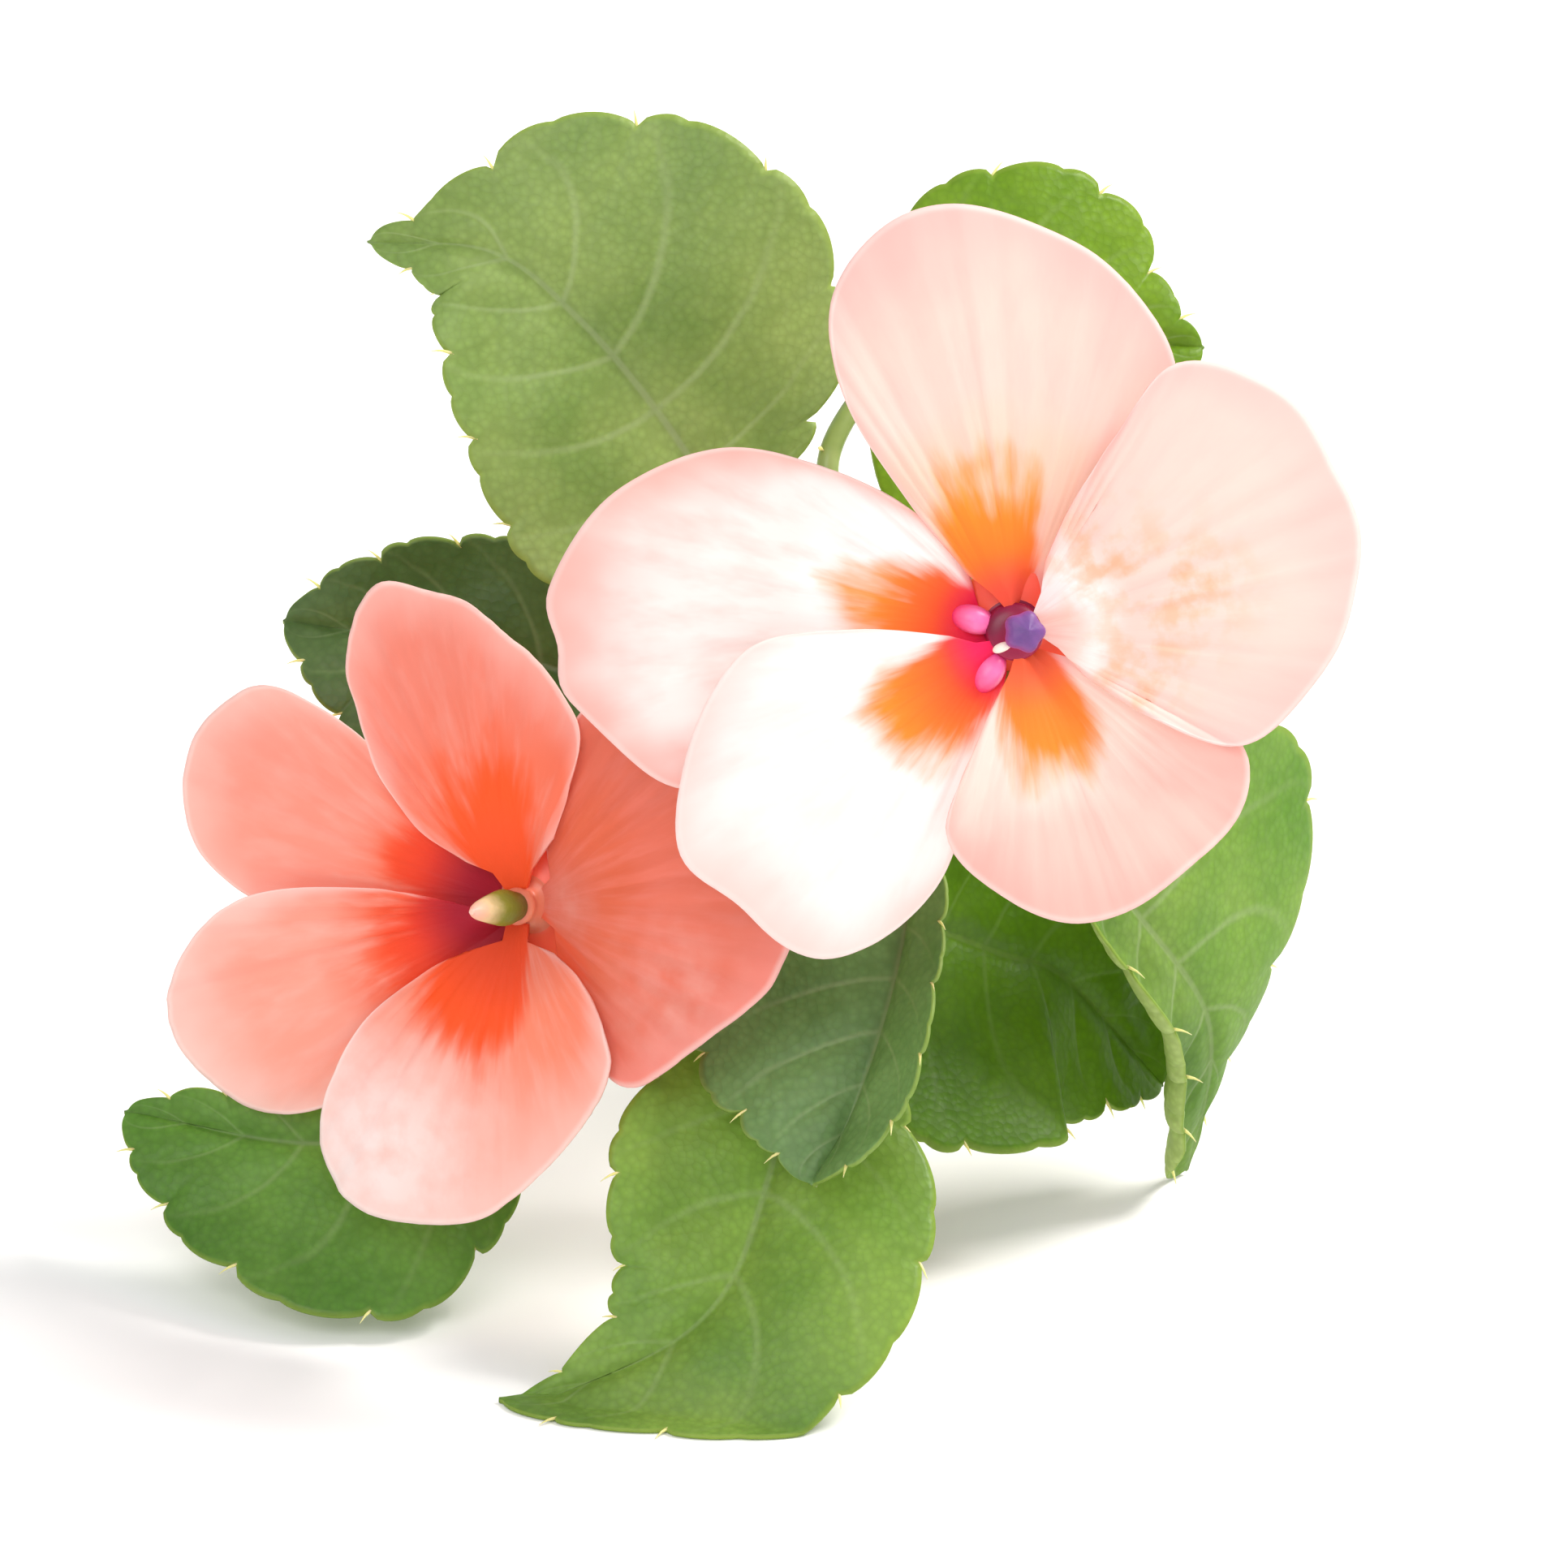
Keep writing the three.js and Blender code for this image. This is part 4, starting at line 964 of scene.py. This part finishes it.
def half_blade(leaf, side, midrib, t):
    """A grid of points over one half of the blade, and for each its place among the side veins, its
    distance from the midrib and its share of the way to the margin."""
    half = leaf["left" if side < 0 else "right"]
    along, out, right = blade_frame(leaf, midrib, t)
    sweep = np.radians(lerp(*SWEEP, t))[:, None]
    middle = midrib.at(t)
    s = np.linspace(0, 1, BLADE_COLUMNS + 1)[None, :]
    reach = toothed_reach(half, midrib, t)[:, None]
    t = t[:, None]
    sideways, height = section(half, reach, t, s)
    calm = np.minimum(1, reach / CALM_REACH)
    lag = WAVE_LAG if side > 0 else 0
    height = height + EDGE_WAVE * s * s * np.sin(2 * math.pi * EDGE_WAVES * t + lag) * calm
    vein_place = TEETH * t - s ** VEIN_CURVE
    quilt = np.abs(np.sin(math.pi * vein_place)) ** QUILT_ROUNDNESS
    height = height + QUILT * quilt * smoothstep(s, *QUILT_START) * (1 - s ** 3) * calm
    height = height - MIDRIB_GROOVE * np.exp(-((reach * s / MIDRIB_GROOVE_WIDTH) ** 2))
    buckle = waves(BUCKLE_ALONG * vein_place + BUCKLE_ACROSS * s, *BUCKLE_WAVES)
    height = height + BUCKLE * buckle * smoothstep(s, *BUCKLE_START) * calm * (1 - s ** 4)
    points = middle[:, None] + right[:, None] * (side * np.cos(sweep) * sideways)[..., None]
    points = points + along[:, None] * (np.sin(sweep) * sideways)[..., None]
    points = points + out[:, None] * height[..., None]
    return points, np.stack([vein_place * np.ones_like(s), reach * s, s * np.ones_like(reach)], -1)


def add_leaf_blade(piece, leaf, midrib):
    """The whole blade, with its veins raised below, and its grid of points for the bristles."""
    t = np.linspace(0, 1, TEETH * ROWS_PER_TOOTH + 1)
    left, right = (half_blade(leaf, side, midrib, t) for side in (-1, 1))
    points, fields = (np.concatenate([a[:, :0:-1], b], axis=1) for a, b in zip(left, right))
    offset = np.arange(points.shape[1]) / BLADE_COLUMNS - 1
    # Painted light and shade: one half of the blade is painted lighter and the other darker, blending
    # across the midrib
    blend = smoothstep(offset, -PAINTED_HALF_SHADE_BLEND, PAINTED_HALF_SHADE_BLEND)
    half_shade = lerp(*leaf.get("painted_half_shading", (1, 1)), blend)[None, :]
    points[..., 2] = np.maximum(points[..., 2], LEAF_THICKNESS / 2)
    vein_place, _, outward = np.moveaxis(fields, -1, 0)
    off_vein = np.abs((vein_place + 0.5) % 1 - 0.5)
    ridge = VEIN_RIDGE * np.exp(-((off_vein / VEIN_RIDGE_WIDTH) ** 2)) * (1 - outward)
    under = LEAF_THICKNESS / 2 + ridge * smoothstep(points[..., 2], *RIDGE_CLEARANCE)
    taper = 1 - LEAF_EDGE_THINNING * outward ** 6
    add_sheet(piece, points, LEAF_THICKNESS / 2 * taper, under * taper, (UPPER_FACE, LOWER_FACE),
              blade=fields, tipward=t[:, None], half_shade=half_shade)
    return points


def stem_root(start):
    """The point inside the stem where a stalk is rooted that leaves the stem's skin at start."""
    middle_line = Curve(STEM_PATH).at(np.linspace(0, 1, 400))
    return lerp(start, middle_line[np.argmin(np.linalg.norm(middle_line - start, axis=1))], ROOTING)


def add_petiole(piece, leaf, midrib):
    """The petiole grows out of the stem and runs on under the blade as its midrib."""
    stations = np.linspace(*MIDRIB_PLACES, 7)
    sink_start, sink_end = np.add(MIDRIB_RADIUS, MIDRIB_SINK)
    depth = lerp(sink_start, sink_end, stations)[:, None]
    under_blade = midrib.at(stations) - blade_frame(leaf, midrib, stations)[1] * depth
    root = stem_root(np.array(leaf["petiole"][0], float))
    line = Curve([root, *leaf["petiole"], leaf["midrib"][0], *under_blade])
    joint = 1 - midrib.length * MIDRIB_SHARE / line.length
    t = np.linspace(0, 1, PETIOLE_RINGS)
    radii = np.interp(t, [0, joint, joint + JOINT_LENGTH, 1], [*PETIOLE_RADIUS, *MIDRIB_RADIUS])
    radii = radii + PETIOLE_FLARE * np.exp(-t * line.length / PETIOLE_FLARE_LENGTH)
    radii = np.minimum(radii, np.maximum(line.at(t)[:, 2] - FLOOR_GAP, THINNEST))
    add_rod(piece, line, radii, 16, LEAF_FLESH, run=run_along(t, line.length * BANDS["petiole"]))
    return line, joint


def add_leaf_bristles(piece, leaf, midrib, points):
    """A fine bristle stands in each notch of the margin."""
    along, out, _ = blade_frame(leaf, midrib, np.linspace(0, 1, len(points)))
    for side in (-1, 1):
        for row in range(ROWS_PER_TOOTH, len(points) - 1, ROWS_PER_TOOTH):
            column = 0 if side < 0 else points.shape[1] - 1
            base = points[row, column]
            outward = unit(base - points[row, column - side])
            ahead = unit(outward + BRISTLE_TIPWARD * along[row] + BRISTLE_UPWARD * out[row])
            tip = base + ahead * BRISTLE_LENGTH * rng.uniform(*BRISTLE_LENGTHS)
            tip[2] = max(tip[2], BRISTLE_RADIUS)
            add_bristle(piece, base - ahead * BRISTLE_ROOT, tip)


def add_petiole_glands(piece, line, joint):
    """A few stalked glands, each with a small round head, on the petiole."""
    for _ in range(GLANDS):
        place = joint * rng.uniform(*GLAND_PLACES)
        turn = rng.uniform(0, 2 * math.pi)
        away = unit(np.cross(line.along(place), [math.cos(turn), math.sin(turn), GLAND_LEAN]))
        foot = line.at(place) + away * PETIOLE_RADIUS[1] * GLAND_ROOT
        stalk = Curve([foot + away * GLAND_STALK * k for k in (0, 0.5, 1)], steps=20)
        add_rod(piece, stalk, GLAND_RADII, 6, BRISTLE)


def leaf_piece(name, leaf, finishes):
    piece = Piece(name + "_blade")
    midrib = Curve(leaf["midrib"])
    points = add_leaf_blade(piece, leaf, midrib)
    petiole_line, joint = add_petiole(piece, leaf, midrib)
    add_leaf_bristles(piece, leaf, midrib, points)
    add_petiole_glands(piece, petiole_line, joint)
    return piece.make("leaf", name, *finishes)


# ---- Flowers ----
def flower_frame(flower):
    """A function that takes points in the flower's own frame to their places in the sprig."""
    out = unit(np.array(flower["face"], float))
    right = unit(np.cross([0, 0, 1], out))
    middle = np.array(flower["centre"], float)
    axes = (right, np.cross(out, right), out)
    return lambda p: middle + sum(np.asarray(p, float)[..., i:i + 1] * axes[i] for i in range(3))


def flat_petal(flower, petal, side):
    """The petal laid flat, as a grid whose rows go from the throat out to its rippled edge, with
    each row's share of the way from the claw to that edge, and the edge itself."""
    heading = petal.get("claw_heading", petal["heading"])
    ahead = bearing(heading)
    across = np.array([ahead[1], -ahead[0]])
    outline = Curve([(x, y, 0) for x, y in petal["outline"]])
    share = np.concatenate([np.zeros(CLAW_ROWS), np.linspace(0, 1, PETAL_ROWS + 1)])[:, None]
    edge = outline.at(side)[:, :2] * (1 + EDGE_RIPPLE * waves(side, *EDGE_WAVE_SET))[:, None]
    inward = np.concatenate([np.linspace(1, 1 / CLAW_ROWS, CLAW_ROWS), np.zeros(PETAL_ROWS + 1)])
    inward = inward[:, None, None]
    claw_end = min(CLAW_END, flower["mouth_radius"] - CLAW_END_GAP)
    half_width = petal.get("claw_half_width", CLAW_HALF_WIDTH)
    root = lerp(CLAW_RING, claw_end, inward) * ahead
    root = root + lerp(half_width, CLAW_END_HALF_WIDTH, inward) * (across * (2 * side - 1)[:, None])
    return lerp(root, edge, share[..., None]), share, edge


def flare_field(flare, x, y):
    """How far out of the flare's blunt shape a place is: 1 is on its outline."""
    ahead = bearing(flare["heading"])
    reach = np.maximum(x * ahead[0] + y * ahead[1], 0) / flare["length"]
    widening = lerp(FLARE_ROOT_WIDTH, 1, smoothstep(reach, 0, FLARE_WIDEST))
    width = np.abs(y * ahead[0] - x * ahead[1]) / (flare["half_width"] * widening)
    return (reach ** FLARE_SQUARENESS + width ** FLARE_SQUARENESS) ** (1 / FLARE_SQUARENESS)


def petal_piece(flower, petal, place, finishes):
    name = f"{flower['name']}_petal_{petal['name']}"
    piece = Piece(name + "_blade")
    side = np.linspace(0, 1, PETAL_COLUMNS + 1)
    flat, share, edge = flat_petal(flower, petal, side)
    side = side[None, :]
    x, y = flat[..., 0], flat[..., 1]
    distance = np.hypot(x, y)
    angle = (np.arctan2(y, x) - math.radians(petal["heading"]) + math.pi) % (2 * math.pi) - math.pi
    layer = LAYER * lerp(*petal["layer"], smoothstep(side, *LAYER_CHANGE))
    height = layer - THROAT_DEPTH * np.exp(-((distance / THROAT_RADIUS) ** 2))
    height = height + petal["bend"] * (distance / BEND_RADIUS) ** 2
    open_out = smoothstep(distance, *OPEN_PLACES)
    furrows = waves(angle, *FURROW_WAVES) + FINE_FURROW * waves(angle, *FINE_FURROW_WAVES)
    height = height + FURROW * open_out * furrows
    height = height + FLUTTER * share ** 2 * open_out * waves(side * FLUTTER_TURN, *FLUTTER_WAVES)

    flare = petal["flare"]
    side_margin = np.abs(2 * side - 1) ** 3
    rim = np.maximum(share ** 2, side_margin * smoothstep(share, *SIDE_RIM_PLACES))
    spread = smoothstep(distance, *(flare["length"] * k for k in GROUND_PLACES))
    off_side = np.minimum(side, 1 - side) * np.maximum(distance - CLAW_RING, LEAST_CLAW_SPAN) * 2
    off_edge = np.minimum(np.linalg.norm(flat - edge, axis=-1), off_side)
    off_edge = off_edge + 1 - smoothstep(distance, *PALE_EDGE_PLACES)
    offset = np.full_like(distance, rng.uniform(0, FAN_SPREAD))
    blots = np.zeros_like(distance)
    for heading, out, radius in petal.get("blots", {}).get("spots", ()):
        spot = out * bearing(heading)
        blots = blots + np.exp(-((x - spot[0]) ** 2 + (y - spot[1]) ** 2) / radius ** 2)
    half = PETAL_THICKNESS / 2 * (1 - PETAL_EDGE_THINNING * share ** 4)
    add_sheet(piece, place(np.stack([x, y, height], -1)), half, half, (PETAL_FACE, PETAL_BACK),
              fan=np.stack([distance * FAN_RUN, angle * FAN_TURN, offset], -1),
              flare=flare_field(flare, x, y), off_edge=off_edge, blots=blots,
              ground=np.stack([spread, rim, distance], -1))
    for cushion in petal.get("cushions", ()):
        add_cushion(piece, np.array(cushion), layer.min(), place)
    return piece.make("petal_" + flower["name"], name, *finishes)


def add_cushion(piece, spot, layer, place):
    """A small raised cushion that points out of the throat and follows its slope."""
    outward = spot / np.linalg.norm(spot) * CUSHION_LENGTH / 2
    level = CUSHION_RISE - THROAT_DEPTH * math.exp(-(spot @ spot) / THROAT_RADIUS ** 2) + layer
    ends = [np.append(spot + k * outward, level + CUSHION_ARCH * (1 - k * k)) for k in (-1, 0, 1)]
    t = np.linspace(0, 1, 24)
    add_rod(piece, Curve(place(ends), steps=60), CUSHION_RADIUS * bean(t, 0.01), 20, CUSHION,
            run=run_along(t))


def pedicel_piece(flower, place, finishes):
    """The flower's stalk, which widens into the receptacle behind the petals."""
    name = f"{flower['name']}_pedicel"
    root = stem_root(np.array(flower["pedicel"][0], float))
    line = Curve([root, *flower["pedicel"], *place(RECEPTACLE_LINE)])
    t = np.concatenate([np.linspace(0, PEDICEL_RINGS_END, PEDICEL_RINGS),
                        np.linspace(RECEPTACLE_RINGS_START, 1, RECEPTACLE_RINGS)])
    to_end = (1 - t) * line.length
    widening = 1 - smoothstep(to_end, RECEPTACLE_LENGTH, RECEPTACLE_WIDENING * RECEPTACLE_LENGTH)
    radii = lerp(PEDICEL_RADIUS, RECEPTACLE_RADIUS, widening)
    radii = radii + PEDICEL_FLARE * np.exp(-t * line.length / PEDICEL_FLARE_LENGTH)
    mouth = 1 - smoothstep(to_end, *MOUTH_PLACES)
    radii = radii - (RECEPTACLE_RADIUS - flower["mouth_radius"]) * mouth
    near_end = 1 - np.clip(to_end / RECEPTACLE_END, 0, 1)
    radii = radii * np.sqrt(np.clip(1 - near_end ** 2 * RECEPTACLE_BLUNTNESS, LEAST_END, 1))
    rim = np.exp(-(((to_end - THROAT_RIM_BACK) / THROAT_RIM_THICKNESS) ** 2))
    radii = radii + (THROAT_RIM_RADIUS - RECEPTACLE_RADIUS) * rim
    bands = [to_end < THROAT_RIM_BACK + k * THROAT_RIM_HALF for k in (-1, 0, 1)]
    finish = np.select(bands, [THROAT_CORE, THROAT_RIM, THROAT_BACK], PEDICEL_FLESH)
    piece = Piece(name + "_stalk")
    add_rod(piece, line, radii, 32, finish, at=t, run=run_along(t, line.length * BANDS["pedicel"]))
    return piece.make("stem", name, *finishes)


def spur_piece(flower, place, finishes):
    """The lower sepal: a small pouch that narrows at once into the long thin spur."""
    name = f"{flower['name']}_spur_sepal"
    line = Curve(place(flower["spur"]))
    t = np.linspace(0, 1, 140)
    radii = profile(SPUR_STATIONS, SPUR_RADII, t)
    radii = radii * rounded(np.minimum(t, 1 - t) * line.length, SPUR_END, 0.12)
    piece = Piece(name + "_tube")
    add_rod(piece, line, radii, 24, FLESH, run=run_along(t, line.length * BANDS["pedicel"]))
    return piece.make("stem", name, *finishes)


def lateral_sepal_piece(flower, side, place, finishes):
    """A small pointed scale beside the receptacle."""
    name = f"{flower['name']}_lateral_sepal_{'left' if side < 0 else 'right'}"
    s = LATERAL_SEPAL
    t, c = np.meshgrid(np.linspace(0, 1, 33), np.linspace(-1, 1, 25), indexing="ij")
    half = np.maximum(np.sin(math.pi * t ** s["roundness"]), lerp(s["foot"], s["tip"], t))
    half = half * s["half_width"]
    x = side * (s["start"] + s["length"] * t)
    y = s["height"] - side * c * half
    z = -s["depth"] - s["arch"] * np.sin(math.pi * t) - s["cup"] * np.abs(c) ** 1.5
    piece = Piece(name + "_scale")
    along, across = BANDS["sepal"]
    add_sheet(piece, place(np.stack([x, y, z], -1)), s["half_thickness"], s["half_thickness"],
              (FLESH, FLESH), run=np.stack([t * along, c * across, t * 0], -1))
    return piece.make("stem", name, *finishes)


def anther_piece(place, finishes):
    """The fused stamens of the young flower: a short pale column under a purple cap of five. One
    loose cream filament end shows beside the cap."""
    line = Curve(place(ANTHER_LINE))
    t = np.linspace(0, 1, 60)
    radii = profile(ANTHER_STATIONS, ANTHER_RADII, t)
    radii = radii * rounded((1 - t) * line.length, ANTHER_END, 0.02)
    piece = Piece("peach_anther_cap_five")
    add_rod(piece, line, radii, 40, FLESH, run=run_along(t),
            lobes=lambda t, a: 1 + ANTHER_LOBE * smoothstep(t, *ANTHER_LOBE_PLACES) * np.cos(LOBES * a))
    t = np.linspace(0, 1, 20)
    add_rod(piece, Curve(place(FILAMENT_LINE)), FILAMENT_RADIUS * bean(t, 0.02), 14, FLESH,
            run=run_along(t, FILAMENT_PALENESS))
    return piece.make("anther", "peach_anther_cap", *finishes)


def pistil_piece(place, finishes):
    """The older flower's pistil: a green ovary that narrows to a pink tip with its stigmas."""
    t = np.linspace(0, 1, 80)
    piece = Piece("salmon_pistil_ovary")
    add_rod(piece, Curve(place(PISTIL_LINE)), profile(PISTIL_STATIONS, PISTIL_RADII, t), 32, FLESH,
            lobes=lambda t, a: 1 + PISTIL_LOBE * np.cos(LOBES * a) * np.sin(math.pi * t),
            run=run_along(t))
    return piece.make("pistil", "salmon_pistil", *finishes)


def stem_piece(finishes):
    """The stem, swollen at its nodes, with low ribs that wind a little round it."""
    line = Curve(STEM_PATH)
    t = np.linspace(0, 1, 240)
    swell = sum(np.exp(-(((t - node) / NODE_LENGTH) ** 2)) for node in STEM_NODES)
    radii = profile(np.linspace(0, 1, len(STEM_RADII)), STEM_RADII, t) + NODE_SWELL * swell
    radii = radii * rounded(t * line.length, STEM_TIP_LENGTH, 0.15)
    piece = Piece("stem_flesh")
    add_rod(piece, line, radii, 40, FLESH, run=run_along(t, line.length * BANDS["stem"]),
            lobes=lambda t, a: 1 + STEM_RIB_HEIGHT * np.cos(STEM_RIBS * a + STEM_TWIST * t))
    return piece.make("stem", "stem", *finishes)


# ---- The sprig ----
petiole_flesh = stem_material("busy_lizzie_petiole", "#83944E", "#6A7E40", "#A6B278")
pedicel_flesh = stem_material("busy_lizzie_pedicel", "#A8AC62", "#B4825C", "#C8C890")
sepal_flesh = stem_material("busy_lizzie_sepal", "#A4B05C", "#C08C68", "#C8CE8C")
bristle_tip = stem_material("leaf_bristle", "#E0DC8C", "#D2C878", "#F0ECC0")
cushion_flesh = ramp_material(
    "throat_cushion", [(0.0, "#F0208C"), (1.0, "#F83A70"), (0.5, "#FF78B4")], 0.35, 0.3,
)
stem_piece([stem_material("busy_lizzie_stem", "#A9B86C", "#8FA456", "#C9D096")])

for leaf_name, leaf_form in LEAVES.items():
    upper_tints = leaf_form["tints"]
    # A leaf's own lower greens, where it has them, are painted paler as painted light
    lower_tints = (*leaf_form.get("lower_tints", LOWER_TINTS), upper_tints[2])
    vein_boldness = leaf_form.get("vein_boldness", VEIN_BOLDNESS)
    leaf_piece(leaf_name, leaf_form, [
        leaf_material(leaf_name + "_upper_face", upper_tints, LEAF_VEINS, vein_boldness),
        leaf_material(leaf_name + "_lower_face", lower_tints, LOWER_VEINS, LOWER_VEIN_BOLDNESS, True),
        petiole_flesh,
        bristle_tip,
    ])

for flower_form in (PEACH_FLOWER, SALMON_FLOWER):
    flower_name = flower_form["name"]
    to_sprig = flower_frame(flower_form)
    for petal_form in flower_form["petals"]:
        petal_name = f"{flower_name}_{petal_form['name']}_petal"
        petal_piece(flower_form, petal_form, to_sprig, [
            petal_material(petal_name + "_face", flower_form, petal_form),
            petal_material(petal_name + "_back", flower_form, petal_form, back=True),
            cushion_flesh,
        ])
    pedicel_piece(flower_form, to_sprig, [pedicel_flesh, *(
        stem_material(f"{flower_name}_throat_{part}", *tints)
        for part, tints in zip(("rim", "core", "back"), THROAT_TINTS[flower_name])
    )])
    spur_piece(flower_form, to_sprig, [sepal_flesh])
    for sepal_side in (-1, 1):
        lateral_sepal_piece(flower_form, sepal_side, to_sprig, [sepal_flesh])

anther_piece(flower_frame(PEACH_FLOWER), [ramp_material("anther_cap_purple", [
    (0.0, "#F2E6D8"), (1.0, "#643A80"), (0.42, "#E8D8D0"), (0.55, "#A85098"),
], 0.5, 0.2)])
pistil_piece(flower_frame(SALMON_FLOWER), [ramp_material("pistil_green", [
    (0.0, "#465210"), (1.0, "#F2B8A8"), (0.55, "#7A882C"), (0.8, "#DECC9C"),
], 0.4, 0.3)])

# ---- Floor, light and camera ----
floor_mesh = bpy.data.meshes.new("floor")
corners = [(x * FLOOR_HALF, y * FLOOR_HALF, 0) for x, y in ((-1, -1), (1, -1), (1, 1), (-1, 1))]
floor_mesh.from_pydata(corners, [], [(0, 1, 2, 3)])
floor_mesh.materials.append(floor_material())
floor = bpy.data.objects.new("floor", floor_mesh)
bpy.context.scene.collection.objects.link(floor)

scene = bpy.context.scene
world = bpy.data.worlds.new("studio")
scene.world = world
world.use_nodes = True
world_light = world.node_tree.nodes["Background"].inputs
world_light["Color"].default_value = linear("#FFFFFF")
world_light["Strength"].default_value = WORLD_LIGHT
scene.view_settings.view_transform = "Standard"

for box_name, box_place, box_width, power, box_tint in SOFT_BOXES:
    light = bpy.data.lights.new(box_name, "AREA")
    light.shape = "DISK"
    light.size = box_width
    light.energy = power
    light.color = linear(box_tint)[:3]
    soft_box = bpy.data.objects.new(box_name, light)
    soft_box.location = box_place
    soft_box.rotation_mode = "QUATERNION"
    aim = Vector(SPRIG_MIDDLE) - Vector(box_place)
    soft_box.rotation_quaternion = aim.to_track_quat("-Z", "Y")
    soft_box.visible_camera = False
    scene.collection.objects.link(soft_box)

camera_data = bpy.data.cameras.new("camera")
camera_data.sensor_width = 36
camera_data.lens = CAMERA_LENS
camera_data.clip_start = 0.01
camera_data.clip_end = 20
camera = bpy.data.objects.new("camera", camera_data)
view = (Vector(SPRIG_MIDDLE) - Vector(CAMERA_PLACE)).normalized()
across_view = (Vector((1, 0, 0)) - view.x * view).normalized()
turned = Matrix((across_view, across_view.cross(view), -view)).transposed().to_4x4()
camera.matrix_world = Matrix.Translation(CAMERA_PLACE) @ turned
scene.collection.objects.link(camera)
scene.camera = camera
